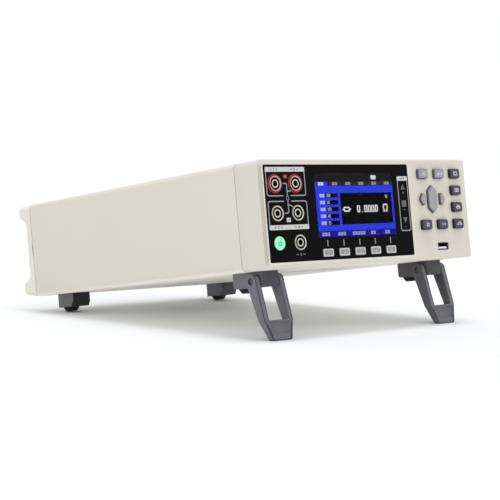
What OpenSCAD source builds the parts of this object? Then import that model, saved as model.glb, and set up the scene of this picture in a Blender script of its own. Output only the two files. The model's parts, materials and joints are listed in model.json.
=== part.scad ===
// Bench micro-ohmmeter standing on its two fold-out front legs.
// Everything is modelled square to the case: x from the left side, y from the front face
// towards the rear, z up from the underside. standing() then leans the whole instrument back
// on its legs, with z = 0 on the table and the origin under the middle of the object.

/* [Case] */
// Width of the case
case_w = 252; // [240:1:320]
// Height of the case without its feet
case_h = 90; // [88:1:130]
// Radius of the four long edges
case_r = 5; // [4:0.5:8]
// Depth of the moulded front bezel
bezel_d = 30; // [27:1:45]
// Length of the extruded sleeve between the bezel and the rear bumper
sleeve_len = 311; // [290:1:380]
// Wall of the bezel and the bumper
moulded_wall = 2.5; // [2:0.1:3.5]
// Wall of the sleeve
sleeve_wall = 2; // [1.6:0.1:3]
// Thickness of the bezel's face
face_t = 3; // [2.6:0.1:4]
// Radius round the edge of the front face
face_r = 1.2; // [0.8:0.1:4]
// Open seam between sleeve and mouldings
seam = 0.4; // [0.2:0.1:0.8]

/* [Rear bumper] */
// How far the bumper's waist stands behind the sleeve
waist_d = 8.5; // [7:0.5:12]
// How far the top and bottom lobes stand behind the sleeve
lobe_d = 20.4; // [16:0.2:26]
// Radius of a lobe
lobe_r = 7; // [6:0.5:8]
// Radius of the hollow between lobe and waist
blend_r = 7; // [2:0.5:8]
// Radius of a lobe's corners seen from above
lobe_corner_r = 1.5; // [1:0.5:6]
// Height of the bumper's top and bottom rails
rail_h = 10; // [9:0.5:12]
// Width of the bumper's side rails
rail_w = 8; // [7:0.5:10]
// Thickness of the rear panel
panel_t = 2; // [1.5:0.1:3]

/* [Black front panel] */
// Left edge of the panel from the side of the case
overlay_x = 5.3; // [4:0.1:8]
// Lower edge of the panel from the underside
overlay_z = 5; // [4:0.1:8]
// Width of the panel
overlay_w = 170.9; // [168:0.1:172]
// Height of the panel
overlay_h = 80.5; // [78:0.1:80.5]
// Thickness of the panel
overlay_t = 0.8; // [0.5:0.1:1.2]
// Depth of the panel's face below the front face
overlay_sunk = 0.4; // [0.2:0.1:0.8]
// Width of the flat bevel round the panel's recess
recess_bevel = 1.9; // [0.8:0.1:2.4]

/* [Display] */
// Width of the lit area
screen_w = 95.04; // [90:0.01:98]
// Height of the lit area
screen_h = 53.86; // [50:0.01:55]
// Middle of the display from the left side
screen_x = 108.8; // [107:0.1:110]
// Middle of the display from the underside
screen_z = 50.9; // [50:0.1:52]
// Thickness of the display module
lcd_t = 4.2; // [3:0.1:5]

/* [Test sockets] */
// Left column of sockets and the power button
socket_x = 17; // [15:0.1:19]
// Lowest row of sockets and the power button
socket_z = 20.8; // [18:0.1:22]
// Distance between the two columns
socket_pitch_x = 22.7; // [20:0.1:23]
// Distance between rows
socket_pitch_z = 24.5; // [22:0.1:25]
// Bore of the contact for a 4 mm plug
contact_bore = 4.04; // [4:0.01:4.2]
// Wall of the contact tube
contact_wall = 1.63; // [1.3:0.01:1.8]
// Depth of the contact's bore
contact_depth = 20; // [18:0.5:21]
// Groove round the contact for the shroud of a plug
shroud_gap = 1.7; // [1.5:0.05:1.9]
// Wall of the insulating barrel
barrel_wall = 0.6; // [0.5:0.05:0.9]
// How far the ring on the panel reaches past the barrel
ring_lip = 0.55; // [0.3:0.05:1]
// Height of the ring above the panel
ring_proud = 1.2; // [0.6:0.1:2]

/* [Keys] */
// Width of a key
key_w = 12.6; // [11:0.1:13.5]
// Height of a key
key_h = 8.4; // [7:0.1:9]
// How far a key stands out of the face
key_proud = 3; // [2:0.1:4]
// Travel of every key
key_travel = 0.8; // [0.4:0.1:1]
// Gap round a key
key_gap = 0.3; // [0.25:0.05:0.4]
// First column of keys from the left side
key_x = 193.5; // [192:0.1:195]
// Lowest row of keys from the underside
key_z = 31.1; // [30:0.1:32]
// Distance between columns of keys
key_pitch_x = 21.2; // [20.6:0.1:21.6]
// Distance between rows of keys
key_pitch_z = 15.2; // [14.6:0.1:15.4]
// Width of the up and down rocker
rocker_w = 11.2; // [10:0.1:11.6]
// Height of the rocker from point to point
rocker_h = 24.8; // [22:0.1:25.4]
// Swing of the rocker to either side
rocker_swing = 2.5; // [1:0.1:2.5]
// Width of a function key
fkey_w = 12.3; // [10:0.1:13]
// Height of a function key
fkey_h = 6.8; // [6:0.1:7.2]
// Middle of the first function key from the left side
fkey_x = 70.6; // [69:0.1:72]
// Distance between function keys
fkey_pitch = 19; // [17:0.1:19.4]
// Middle of the function keys from the underside
fkey_z = 11; // [10.6:0.1:11.2]
// Diameter of the power button
power_d = 11.2; // [10:0.1:12]

/* [Feet and legs] */
// Inset of a tilt leg from the side of the case
leg_inset = 9.1; // [8:0.1:14]
// Width of each arm of a tilt leg
leg_arm = 5.4; // [4.6:0.05:6.5]
// Gap between a foot block and the arms beside it
arm_gap = 1.6; // [0.4:0.05:2]
// Pivot of the legs behind the front face
pivot_y = 31.8; // [29:0.1:36]
// Pivot of the legs below the case
pivot_drop = 8.2; // [7.6:0.1:9]
// Radius of a leg round its pivot
leg_eye_r = 6; // [5.5:0.1:6.8]
// Diameter of a leg's hinge pin
pin_d = 4; // [3:0.1:5]
// Running clearance between leg and pin, on the radius
pin_clearance = 0.05; // [0.02:0.01:0.1]
// Drop from the pivot to a leg's knee
knee_drop = 33; // [32:0.5:40]
// Drop from the pivot to the back edge of a leg's tip
tip_drop = 49.73; // [46:0.01:60]
// Height of the foot blocks
block_h = 13.2; // [12:0.1:14.5]
// Width of the foot blocks
block_w = 18; // [15:0.1:22]
// Length of a front foot block before the pivot
front_block_nose = 7.2; // [5:0.1:8]
// Length of a front foot block behind the pivot
front_block_len = 30.2; // [26:0.1:31]
// Width of a rear foot block
rear_block_w = 20.8; // [18:0.1:24]
// Length of a rear foot block
rear_block_len = 26.9; // [22:0.1:32]
// Inset of a rear foot block from the side of the case
rear_block_inset = 21.1; // [20:0.1:30]
// Distance from the rear foot block to the end of the sleeve
rear_block_back = 4.5; // [2:0.5:20]
// Height of a rubber pad below its block
pad_h = 4; // [3:0.1:5]
// Rim of the block round its pad
pad_rim = 1; // [0.8:0.1:2]
// Taper of a pad on its radius
pad_taper = 2.75; // [2:0.05:3.2]

/* [Hidden] */
$fn = 64;
eps = 0.01;
free_gap = 0.3;

// Stations along the depth of the case
sleeve_y0 = bezel_d + seam;
sleeve_y1 = bezel_d + sleeve_len - seam;
bumper_y0 = bezel_d + sleeve_len;
waist_y = bumper_y0 + waist_d;
lobe_y = bumper_y0 + lobe_d - lobe_r;
panel_y0 = bumper_y0 + seam + 2;
panel_y1 = panel_y0 + panel_t;
seat_y = overlay_sunk + overlay_t;
board_y = face_t + 10;
board_t = 1.6;
switch_y = board_y - 4;

// Front board behind the display and the keys, with its distance from the case's top and side
front_board_x = 55;
front_board_z = 5.5;
board_top = moulded_wall + 0.7;
board_side = moulded_wall + 1.5;

// Main board and its cut-back corner for the transformer
main_y0 = bezel_d + 18;
main_y1 = bumper_y0 - 8;
main_z = 13;
main_edge = 14;
main_x0 = main_edge;
main_x1 = case_w - main_edge;
bay_x = main_x0 + 90;
bay_y = main_y1 - 92;
stand_in = 8;
STANDOFFS = [
    for (y = [main_y0 + stand_in, (main_y0 + bay_y) / 2, bay_y - stand_in],
        x = [main_x0 + stand_in, main_x1 - stand_in]) [x, y],
    for (x = [bay_x + stand_in, main_x1 - stand_in]) [x, main_y1 - stand_in]];

// What stands on the main board, by its corner nearest the left and the front
relay = [10, 20, 11];
relay_y = main_y0 + 42;
relay_pitch = 18;
can = [92, 64, 14];
can_y = (relay_y + relay[1] + bay_y - can[1]) / 2;
sink_len = 70;
sink_h = 34;
sink_x = main_x1 - 52;
sink_y = main_y1 - 118;
capacitor_d = 16;

// Heights of the top and bottom lobes
lobe_top_z = case_h - lobe_r - 0.3;
lobe_low_z = lobe_r + 1.2;

// Places on the face
overlay_mid_x = overlay_x + overlay_w / 2;
overlay_mid_z = overlay_z + overlay_h / 2;
function key_place(col, row) = [key_x + col * key_pitch_x, key_z + row * key_pitch_z];
pad_x = key_x + key_pitch_x / 2;
pad_z = key_z + 1.5 * key_pitch_z;
usb_x = key_x + key_pitch_x;
usb_z = 11.4;
function socket_place(col, row) = [socket_x + col * socket_pitch_x, socket_z + row * socket_pitch_z];
SOCKETS = [[0, 2], [1, 2], [0, 1], [1, 1], [1, 0]];

// Test sockets, from the contact outwards
contact_d = contact_bore + 2 * contact_wall;
shroud_bore = contact_d + 2 * shroud_gap;
barrel_d = shroud_bore + 2 * barrel_wall;
ring_d = barrel_d + 2 * ring_lip;
socket_nut_d = barrel_d + 5.1;

// Column and row of the eight plain keys
KEYS = [[0, 3], [1, 3], [2, 3], [2, 2], [2, 1], [0, 0], [1, 0], [2, 0]];

// Outline of the side arrow keys, from the middle of the arrow group
arrow_tip = 16.3;
arrow_shoulder = 12.8;
arrow_back = 9.8;
arrow_half_h = 5.3;
arrow_back_h = 4.6;
arrow_proud = 2.6;

// Feet and legs in the case's own axes
leg_window = block_w + 2 * arm_gap;
leg_w = leg_window + 2 * leg_arm;
leg_x = leg_inset + leg_w / 2;
pivot_z = -pivot_drop;
knee_front = -13;
knee_back = -5.8;
tip_front = -16.3;
tip_back = -11.6;
tip_y = pivot_y + tip_back;
tip_z = pivot_z - tip_drop;
pad_top_d = block_w - 2 * pad_rim;
pad_foot_d = pad_top_d - 2 * pad_taper;
pad_sole_z = -block_h - pad_h;
rear_block_y1 = bezel_d + sleeve_len - rear_block_back;
pad_setback = 8;
rear_pad_y = rear_block_y1 - pad_setback;
front_pad_y = pivot_y + front_block_len - pad_setback;

// Lean of the case: the legs' tips and the rear edges of the rear pads share one plane
lean = atan((pad_sole_z - tip_z) / (rear_pad_y + pad_foot_d / 2 - tip_y));
lift = tip_y * sin(lean) - tip_z * cos(lean);
front_reach = face_r * (cos(lean) + sin(lean) - 1);
rear_reach = lobe_y * cos(lean) + lobe_top_z * sin(lean) + lobe_r;
middle_y = (front_reach + rear_reach) / 2;

case_colour = [0.86, 0.84, 0.78];
foot_colour = [0.42, 0.42, 0.44];
dark_colour = [0.11, 0.11, 0.12];
key_colour = [0.29, 0.29, 0.31];
arrow_colour = [0.6, 0.6, 0.62];
metal_colour = [0.78, 0.78, 0.76];
board_colour = [0.1, 0.35, 0.2];

module standing() {
    translate([-case_w / 2, -middle_y, lift]) rotate([-lean, 0, 0]) children();
}

// Swaps a piece to the right-hand side of the case
module right_side() {
    translate([case_w, 0, 0]) mirror([1, 0, 0]) children();
}

// Outline in x and z, made solid from depth y0 to y1
module slab(y0, y1) {
    translate([0, y1, 0]) rotate([90, 0, 0]) linear_extrude(y1 - y0) children();
}

// Outline in y and z, made solid from x0 to x1
module across(x0, x1) {
    translate([x0, 0, 0]) rotate([90, 0, 90]) linear_extrude(x1 - x0) children();
}

// Rod along the depth of the case
module rod(x, z, y0, y1, d) {
    slab(y0, y1) translate([x, z]) circle(d = d);
}

// Rod across the case
module cross_rod(y, z, x0, x1, d) {
    across(x0, x1) translate([y, z]) circle(d = d);
}

module rounded_rect(w, h, r) {
    square([w - 2 * r, h], center = true);
    square([w, h - 2 * r], center = true);
    for (sx = [-1, 1], sz = [-1, 1]) translate([sx * (w / 2 - r), sz * (h / 2 - r)]) circle(r);
}

// Strip from y0 to y1 whose two corners at y0 are round
module nose_outline(w, y0, y1, r) {
    translate([-w / 2, y0 + r]) square([w, y1 - y0 - r]);
    translate([-w / 2 + r, y0]) square([w - 2 * r, y1 - y0]);
    for (sx = [-1, 1]) translate([sx * (w / 2 - r), y0 + r]) circle(r);
}

// Block with corner radius r seen from the front and edge radius e round its front face
module nosed_block(w, h, r, e, y0, y1) {
    intersection() {
        slab(y0, y1) rounded_rect(w, h, r);
        translate([0, 0, -h / 2]) linear_extrude(h) nose_outline(w, y0, y1, e);
        across(-w / 2, w / 2) mirror([1, -1, 0]) nose_outline(h, y0, y1, e);
    }
}

module at(p) {
    translate([p[0], 0, p[1]]) children();
}

module centred_on_case() {
    translate([case_w / 2, 0, case_h / 2]) children();
}

// Lozenge of the rocker, grown by g all round
module rocker_outline(g) {
    half_w = rocker_w / 2;
    point_rise = 4.7;
    slant = norm([half_w, point_rise]);
    tip = rocker_h / 2 + g * slant / half_w;
    shoulder = tip - point_rise * (half_w + g) / half_w;
    polygon([[0, tip], [half_w + g, shoulder], [half_w + g, -shoulder], [0, -tip],
        [-half_w - g, -shoulder], [-half_w - g, shoulder]]);
}

// Left arrow key, grown by g all round
module arrow_outline(g) {
    slant = norm([arrow_tip - arrow_shoulder, arrow_half_h]);
    shoulder_x = -arrow_shoulder - g / 2;
    shoulder_h = arrow_half_h + 1.2 * g;
    polygon([[-arrow_tip - g * slant / arrow_half_h, 0], [shoulder_x, shoulder_h],
        [-arrow_back + g, arrow_back_h + g], [-arrow_back + g, -arrow_back_h - g],
        [shoulder_x, -shoulder_h]]);
}

// Bosses for the front board, and the two of the power button's board
boss_d = 5.2;
boss_edge = 9;
boss_top_z = case_h - 5;
boss_side_x = case_w - 6;
screw_d = 2.5;
BOARD_BOSSES = [[front_board_x + 3.5, boss_edge], [front_board_x + 3.5, boss_top_z],
    [overlay_x + overlay_w + 2.8, boss_edge], [overlay_x + overlay_w + 2.8, boss_top_z],
    [boss_side_x, boss_edge + 7], [boss_side_x, boss_top_z],
    [boss_edge, socket_z + 12.2], [boss_edge, boss_edge]];
screw_hold = 6;

module key_wells() {
    for (k = KEYS) at(key_place(k[0], k[1]))
        slab(-1, face_t + 1) rounded_rect(key_w + 2 * key_gap, key_h + 2 * key_gap, 1.9);
    at([pad_x, pad_z]) slab(-1, face_t + 1) {
        rocker_outline(0.5);
        arrow_outline(key_gap);
        mirror([1, 0]) arrow_outline(key_gap);
    }
}

module fkey_wells(y0, y1) {
    for (i = [0:4]) at([fkey_x + i * fkey_pitch, fkey_z])
        slab(y0, y1) rounded_rect(fkey_w + 2 * key_gap, fkey_h + 2 * key_gap, 1.7);
}

module socket_wells(y0, y1) {
    for (s = SOCKETS) at(socket_place(s[0], s[1])) rod(0, 0, y0, y1, barrel_d + 0.2);
    at(socket_place(0, 0)) rod(0, 0, y0, y1, power_d + 2 * key_gap);
}

// Recess for the black panel with its bevelled rim
module overlay_recess() {
    translate([overlay_mid_x, 0, overlay_mid_z]) {
        slab(-1, seat_y) rounded_rect(overlay_w + 0.2, overlay_h + 0.2, 1.2);
        hull() {
            slab(-eps, 0) rounded_rect(overlay_w + 2 * recess_bevel, overlay_h + 2 * recess_bevel, 2.4);
            slab(overlay_sunk - eps, overlay_sunk) rounded_rect(overlay_w, overlay_h, 1.1);
        }
    }
}

module front_bezel() {
    standing() color(case_colour) {
        difference() {
            union() {
                difference() {
                    centred_on_case() nosed_block(case_w, case_h, case_r, face_r, 0, bezel_d);
                    centred_on_case() slab(face_t, bezel_d + 1)
                        rounded_rect(case_w - 2 * moulded_wall, case_h - 2 * moulded_wall,
                            case_r - moulded_wall);
                }
                bezel_tongue();
                for (b = BOARD_BOSSES) rod(b[0], b[1], face_t - eps, board_y, boss_d);
                rocker_brackets();
                tray_ribs();
            }
            overlay_recess();
            translate([screen_x, 0, screen_z]) slab(0, face_t + 1)
                rounded_rect(screen_w + 2.4, screen_h + 2.4, 1);
            socket_wells(0, face_t + 1);
            fkey_wells(0, face_t + 1);
            key_wells();
            at([usb_x, usb_z]) slab(-1, face_t + 1) rounded_rect(14.6, 6.8, 0.6);
            for (b = BOARD_BOSSES) rod(b[0], b[1], board_y - screw_hold, board_y + 1, screw_d);
            cross_rod(rocker_pin_y, pad_z, pad_x - bracket_x - 2, pad_x + bracket_x + 2, rocker_pin_d);
        }
    }
}

// Thin tongue of the bezel that slides into the sleeve
module bezel_tongue() {
    tongue_t = 1.6;
    outer_w = case_w - 2 * sleeve_wall - 0.2;
    outer_h = case_h - 2 * sleeve_wall - 0.2;
    centred_on_case() intersection() {
        difference() {
            slab(bezel_d - 3, bezel_d + 3.5) rounded_rect(outer_w, outer_h, case_r - sleeve_wall);
            slab(bezel_d - 4, bezel_d + 4.5)
                rounded_rect(outer_w - 2 * tongue_t, outer_h - 2 * tongue_t, 1.4);
        }
        // Open at the bottom, where the base plate lies, and cut round the sleeve's channels
        slab(bezel_d - 4, bezel_d + 4.5) difference() {
            translate([0, 12]) square([case_w, case_h], center = true);
            for (c = CORNERS) translate([c[0] - case_w / 2, c[1] - case_h / 2]) circle(d = port_d + 0.4);
        }
    }
}

rocker_pin_d = 2;
rocker_pin_y = face_t + 1.6;
bracket_t = 1.8;
bracket_x = rocker_w / 2 + 1.6;

// Lugs at either side of the rocker that hold its pin
module rocker_brackets() {
    for (s = [-1, 1]) translate([pad_x + s * bracket_x - bracket_t / 2, face_t - eps, pad_z - rocker_pin_d])
        cube([bracket_t, 2 * rocker_pin_d - 0.4, 2 * rocker_pin_d]);
}

module rocker_pin() {
    pin_reach = bracket_x + bracket_t / 2;
    standing() color(metal_colour)
        cross_rod(rocker_pin_y, pad_z, pad_x - pin_reach, pad_x + pin_reach, rocker_pin_d);
}

rib_t = 1.2;
rib_h = 5;

// Ribs behind the face that hold the display's tray at its sides and its top
module tray_ribs() {
    reach = tray_w / 2 + free_gap;
    low = tray_mid_z - tray_h / 2;
    top = tray_mid_z + tray_h / 2 + free_gap;
    slab(face_t - eps, face_t + rib_h) {
        for (s = [-1, 1]) translate([screen_x + s * (reach + rib_t / 2), (low + top) / 2])
            square([rib_t, top - low], center = true);
        // The top rib stops short of the two bosses above it
        translate([screen_x - screen_w / 2 + 2, top]) square([screen_w - 4, rib_t]);
    }
}

module front_overlay() {
    standing() color(dark_colour) difference() {
        translate([overlay_mid_x, 0, overlay_mid_z]) slab(overlay_sunk, seat_y)
            rounded_rect(overlay_w, overlay_h, 1.5);
        translate([screen_x, 0, screen_z]) slab(0, seat_y + 1) square([screen_w, screen_h], center = true);
        socket_wells(0, seat_y + 1);
        fkey_wells(0, seat_y + 1);
    }
}

module display_window() {
    standing() color([0.5, 0.6, 0.8, 0.4]) translate([screen_x, 0, screen_z])
        slab(overlay_sunk, seat_y) square([screen_w - 0.1, screen_h - 0.1], center = true);
}

lcd_margin = 5.2;
lcd_low_margin = 7.4;
lcd_top_margin = 4.2;
tray_w = screen_w + 2 * lcd_margin;
tray_h = screen_h + lcd_low_margin + lcd_top_margin;
tray_mid_z = screen_z + (lcd_top_margin - lcd_low_margin) / 2;
glass_front = seat_y + 0.2;
glass_sunk = 1.4;
glass_border = 0.9;

// Metal tray of the display module, open at the front for the glass
module lcd_module() {
    standing() color(metal_colour) difference() {
        translate([screen_x, 0, tray_mid_z]) slab(face_t, face_t + lcd_t)
            square([tray_w, tray_h], center = true);
        translate([screen_x, 0, screen_z]) slab(face_t - 1, face_t + glass_sunk)
            square([screen_w + 2 * glass_border + 0.2, screen_h + 2 * glass_border + 0.2], center = true);
    }
}

// Display cell with its light behind it, standing forward to just behind the window
module lcd_screen() {
    standing() color([0.16, 0.24, 0.84]) translate([screen_x, 0, screen_z])
        slab(glass_front, face_t + glass_sunk)
            square([screen_w + 2 * glass_border, screen_h + 2 * glass_border], center = true);
}

barrel_end = contact_depth + 2;

// Insulating barrel of one test socket with its ring and deep shroud groove
module socket(i, ring_colour) {
    p = socket_place(SOCKETS[i][0], SOCKETS[i][1]);
    front = overlay_sunk - ring_proud;
    standing() color(ring_colour) at(p) difference() {
        union() {
            rod(0, 0, front, overlay_sunk, ring_d);
            rod(0, 0, overlay_sunk - eps, barrel_end, barrel_d);
        }
        rod(0, 0, front - 1, barrel_end - 4, shroud_bore);
        rod(0, 0, 0, barrel_end + 1, contact_d);
    }
}

module socket_drive_high() { socket(0, [0.78, 0.42, 0.42]); }
module socket_sense_high() { socket(1, [0.78, 0.42, 0.42]); }
module socket_drive_low() { socket(2, [0.88, 0.86, 0.82]); }
module socket_sense_low() { socket(3, [0.88, 0.86, 0.82]); }
module socket_guard() { socket(4, [0.88, 0.86, 0.82]); }

tail_d = 3;
tail_end = barrel_end + 8;

// Plated tubes that take the 4 mm plugs, each with a solder tail
module socket_contacts() {
    standing() color(metal_colour) for (s = SOCKETS) at(socket_place(s[0], s[1])) difference() {
        union() {
            rod(0, 0, overlay_sunk - 0.6, barrel_end, contact_d);
            rod(0, 0, barrel_end - eps, tail_end, tail_d);
        }
        rod(0, 0, -2, overlay_sunk - 0.6 + contact_depth, contact_bore);
    }
}

module socket_nuts() {
    standing() color(metal_colour) for (s = SOCKETS) at(socket_place(s[0], s[1])) difference() {
        slab(face_t, face_t + 3) circle(d = socket_nut_d, $fn = 6);
        rod(0, 0, face_t - 1, face_t + 4, barrel_d);
    }
}

lead_d = 2.2;
lead_turn_y = main_y0 + 8;
lead_step = 6;

// Leads from the solder tails down to the main board
module socket_leads() {
    standing() color([0.7, 0.2, 0.18]) for (s = SOCKETS) {
        p = socket_place(s[0], s[1]);
        // The higher the socket, the further back its lead turns down
        turn = lead_turn_y + lead_step * s[1];
        rod(p[0], p[1], tail_end, turn, lead_d);
        translate([p[0], turn, p[1]]) sphere(d = lead_d);
        translate([p[0], turn, main_z + board_t]) cylinder(d = lead_d, h = p[1] - main_z - board_t);
    }
}

key_flange = 1;
flange_t = 1.2;

// Key body: cap through the well, flange behind the face and stem towards the switch
module key(w, h, r, proud) {
    nosed_block(w, h, r, min(0.9, proud / 2), -proud, face_t + free_gap + eps);
    slab(face_t + free_gap, face_t + free_gap + flange_t)
        rounded_rect(w + 2 * key_flange, h + 2 * key_flange, r);
    rod(0, 0, face_t + free_gap + flange_t - eps, switch_y - key_travel - free_gap, 4);
}

module face_key(i, tint) {
    k = KEYS[i];
    standing() color(tint) at(key_place(k[0], k[1])) key(key_w, key_h, 1.6, key_proud);
}

module escape_key() { face_key(0, arrow_colour); }
module enter_key() { face_key(1, arrow_colour); }
module page_key() { face_key(2, key_colour); }
module compare_key() { face_key(3, key_colour); }
module lock_key() { face_key(4, key_colour); }
module zero_key() { face_key(5, key_colour); }
module hold_key() { face_key(6, key_colour); }
module trigger_key() { face_key(7, key_colour); }

// Function key with a dished face inside a bright rim
module function_key(i) {
    standing() color(metal_colour) at([fkey_x + (i - 1) * fkey_pitch, fkey_z]) difference() {
        key(fkey_w, fkey_h, 1.4, 1 - overlay_sunk);
        slab(overlay_sunk - 2, overlay_sunk - 0.7) rounded_rect(fkey_w - 3.4, fkey_h - 3, 0.8);
    }
}

module power_button() {
    cap_front = overlay_sunk - 0.8;
    standing() color([0.59, 0.96, 0.76]) at(socket_place(0, 0)) {
        rod(0, 0, cap_front, face_t + free_gap + eps, power_d);
        rod(0, 0, face_t + free_gap, face_t + free_gap + flange_t, power_d + 2 * key_flange);
        rod(0, 0, face_t + free_gap + flange_t - eps, switch_y - key_travel - free_gap, 4);
    }
}

// Side arrow key: pointed cap with drafted edges
module arrow_key() {
    hull() {
        slab(-arrow_proud + 0.6, face_t + free_gap + eps) arrow_outline(0);
        slab(-arrow_proud, 0) arrow_outline(-0.5);
    }
    slab(face_t + free_gap, face_t + free_gap + flange_t) arrow_outline(0.7);
    rod(-arrow_shoulder, 0, face_t + free_gap + flange_t - eps, switch_y - key_travel - free_gap, 4);
}

module left_key() {
    standing() color(arrow_colour) at([pad_x, pad_z]) arrow_key();
}

module right_key() {
    standing() color(arrow_colour) at([pad_x, pad_z]) mirror([1, 0, 0]) arrow_key();
}

rocker_foot_z = 7.5;
rocker_foot_end = switch_y - free_gap - rocker_foot_z * sin(rocker_swing);

// Up and down rocker: two faces that fall away from a crease, on a cross pin
module up_down_rocker() {
    standing() color(arrow_colour) at([pad_x, pad_z]) difference() {
        union() {
            hull() {
                slab(-arrow_proud + 0.6, face_t + 0.6) rocker_outline(0);
                slab(-arrow_proud, 0) rocker_outline(-0.5);
            }
            slab(face_t, face_t + 3.2) square([rocker_w - 1.2, 2 * rocker_foot_z], center = true);
            for (s = [-1, 1]) rod(0, s * rocker_foot_z, face_t + 3, rocker_foot_end, 3.6);
        }
        cross_rod(rocker_pin_y, 0, -rocker_w, rocker_w, rocker_pin_d + 2 * pin_clearance);
        // Shallow crease across the middle
        for (s = [-1, 1]) scale([1, 1, s]) across(-rocker_w, rocker_w)
            polygon([[-arrow_proud - 1, -eps], [-arrow_proud + 0.5, -eps], [-arrow_proud, rocker_h / 2],
                [-arrow_proud - 1, rocker_h / 2]]);
    }
}

// Circuit boards behind the keys and behind the power button
module front_board() {
    standing() color(board_colour) difference() {
        union() {
            translate([front_board_x, board_y, front_board_z])
                cube([case_w - board_side - front_board_x, board_t, case_h - board_top - front_board_z]);
            translate([front_board_z, board_y, front_board_z]) cube([19, board_t, 31]);
        }
        for (b = BOARD_BOSSES) rod(b[0], b[1], board_y - 1, board_y + 3, screw_d + 0.6);
    }
}

switch_body = 3.2;

// Push switches soldered to the boards
module key_switches() {
    places = concat([for (k = KEYS) key_place(k[0], k[1])],
        [for (i = [0:4]) [fkey_x + i * fkey_pitch, fkey_z]],
        [for (s = [-1, 1]) [pad_x + s * arrow_shoulder, pad_z]],
        [for (s = [-1, 1]) [pad_x, pad_z + s * rocker_foot_z]],
        [socket_place(0, 0)]);
    standing() color(dark_colour) for (p = places) at(p) {
        slab(board_y - switch_body, board_y) square(6, center = true);
        rod(0, 0, switch_y, board_y - switch_body + eps, 3.4);
    }
}

// Pan head screw along the depth, its head from y to y + 1.6 and its shank towards the front
module pan_screw(x, z, y, shank, d) {
    difference() {
        union() {
            rod(x, z, y, y + 1.6, 2 * d);
            rod(x, z, y - shank, y + eps, d);
        }
        translate([x, 0, z]) for (a = [0, 90]) rotate([0, a, 0])
            translate([-d * 0.7, y + 0.9, -0.3]) cube([d * 1.4, 2, 0.6]);
    }
}

module front_screws() {
    standing() color(metal_colour)
        for (b = BOARD_BOSSES) pan_screw(b[0], b[1], board_y + board_t, 7, screw_d - 0.1);
}

usb_w = 13.2;
usb_h = 5.8;
usb_wall = 0.35;

// Folded tin shell of the memory stick port
module usb_shell() {
    standing() color(metal_colour) at([usb_x, usb_z]) difference() {
        slab(0.6, board_y) rounded_rect(usb_w, usb_h, 0.5);
        slab(0, board_y - 2) rounded_rect(usb_w - 2 * usb_wall, usb_h - 2 * usb_wall, 0.3);
    }
}

module usb_tongue() {
    standing() color("white") at([usb_x, usb_z - 1.35]) slab(1.4, board_y - 2)
        square([11.1, 1.8], center = true);
}

port_d = 8;
port_bore = 3.3;
port_inset = sleeve_wall + port_d / 2 - 0.4;

// Screw channels in the corners of the sleeve
CORNERS = [for (x = [port_inset, case_w - port_inset], z = [port_inset, case_h - port_inset]) [x, z]];
sleeve_lip = 14;

module corner_channels() {
    intersection() {
        for (c = CORNERS) translate(c) circle(d = port_d);
        translate([case_w / 2, case_h / 2]) rounded_rect(case_w, case_h, case_r);
    }
}

// Extruded sleeve: roof, sides and the two lips under the case
module sleeve() {
    standing() color(case_colour) slab(sleeve_y0, sleeve_y1) difference() {
        union() {
            difference() {
                translate([case_w / 2, case_h / 2]) rounded_rect(case_w, case_h, case_r);
                translate([case_w / 2, case_h / 2]) rounded_rect(case_w - 2 * sleeve_wall,
                    case_h - 2 * sleeve_wall, case_r - sleeve_wall);
                translate([sleeve_lip, -1]) square([case_w - 2 * sleeve_lip, 10]);
            }
            corner_channels();
        }
        for (c = CORNERS) translate(c) circle(d = port_bore);
    }
}

plate_t = 2;
flange_z = sleeve_wall;

// Base plate: it fills the gap between the lips and steps up to lie on them
module bottom_plate() {
    edge = sleeve_lip + 0.2;
    flange_x0 = edge - 2.6;
    flange_x1 = edge + 3.4;
    flange_top = flange_z + 1.6;
    // Left half of the section, from the foot of the step to the middle
    half = [[edge, 0], [edge, flange_z], [flange_x0, flange_z], [flange_x0, flange_top],
        [flange_x1, flange_top], [flange_x1, plate_t]];
    mirrored = [for (i = [len(half) - 1:-1:0]) [case_w - half[i][0], half[i][1]]];
    standing() color([0.7, 0.7, 0.7]) difference() {
        slab(sleeve_y0, sleeve_y1) polygon(concat(half, mirrored));
        for (x = [60:12:192]) translate([x, sleeve_y0 + 40, -1]) cube([4, 45, 6]);
        for (x = [108:12:192]) translate([x, sleeve_y1 - 90, -1]) cube([4, 45, 6]);
    }
}

module rear_side_outline() {
    top_z = case_h;
    offset_y = lobe_y - waist_y;
    reach = sqrt(pow(blend_r + lobe_r, 2) - pow(blend_r - offset_y, 2));
    hollow_top = lobe_top_z - reach;
    hollow_low = lobe_low_z + reach;
    translate([bumper_y0 + seam, 0]) square([waist_d - seam, top_z]);
    difference() {
        union() {
            translate([lobe_y, lobe_top_z]) circle(lobe_r);
            translate([waist_y - 1, hollow_top]) square([offset_y + 1, top_z - hollow_top]);
            translate([lobe_y, lobe_low_z]) circle(lobe_r);
            translate([waist_y - 1, 0]) square([offset_y + 1, hollow_low]);
        }
        for (z = [hollow_top, hollow_low]) translate([waist_y + blend_r, z]) circle(blend_r);
        translate([waist_y + blend_r, hollow_low - 1]) square([20, hollow_top - hollow_low + 2]);
        translate([lobe_y, lobe_top_z + lobe_r]) square([20, 10]);
        translate([lobe_y - 5, -10]) square([20, 10 + lobe_low_z - lobe_r]);
    }
}

// Rear panel, cut away at the corners for the bumper's screws, grown by g
module panel_outline(g) {
    border = moulded_wall + 3.2 - g;
    difference() {
        translate([case_w / 2, case_h / 2]) rounded_rect(case_w - 2 * border, case_h - 2 * border, 2);
        for (c = CORNERS) translate(c) circle(d = 9 - 2 * g);
    }
}

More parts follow.
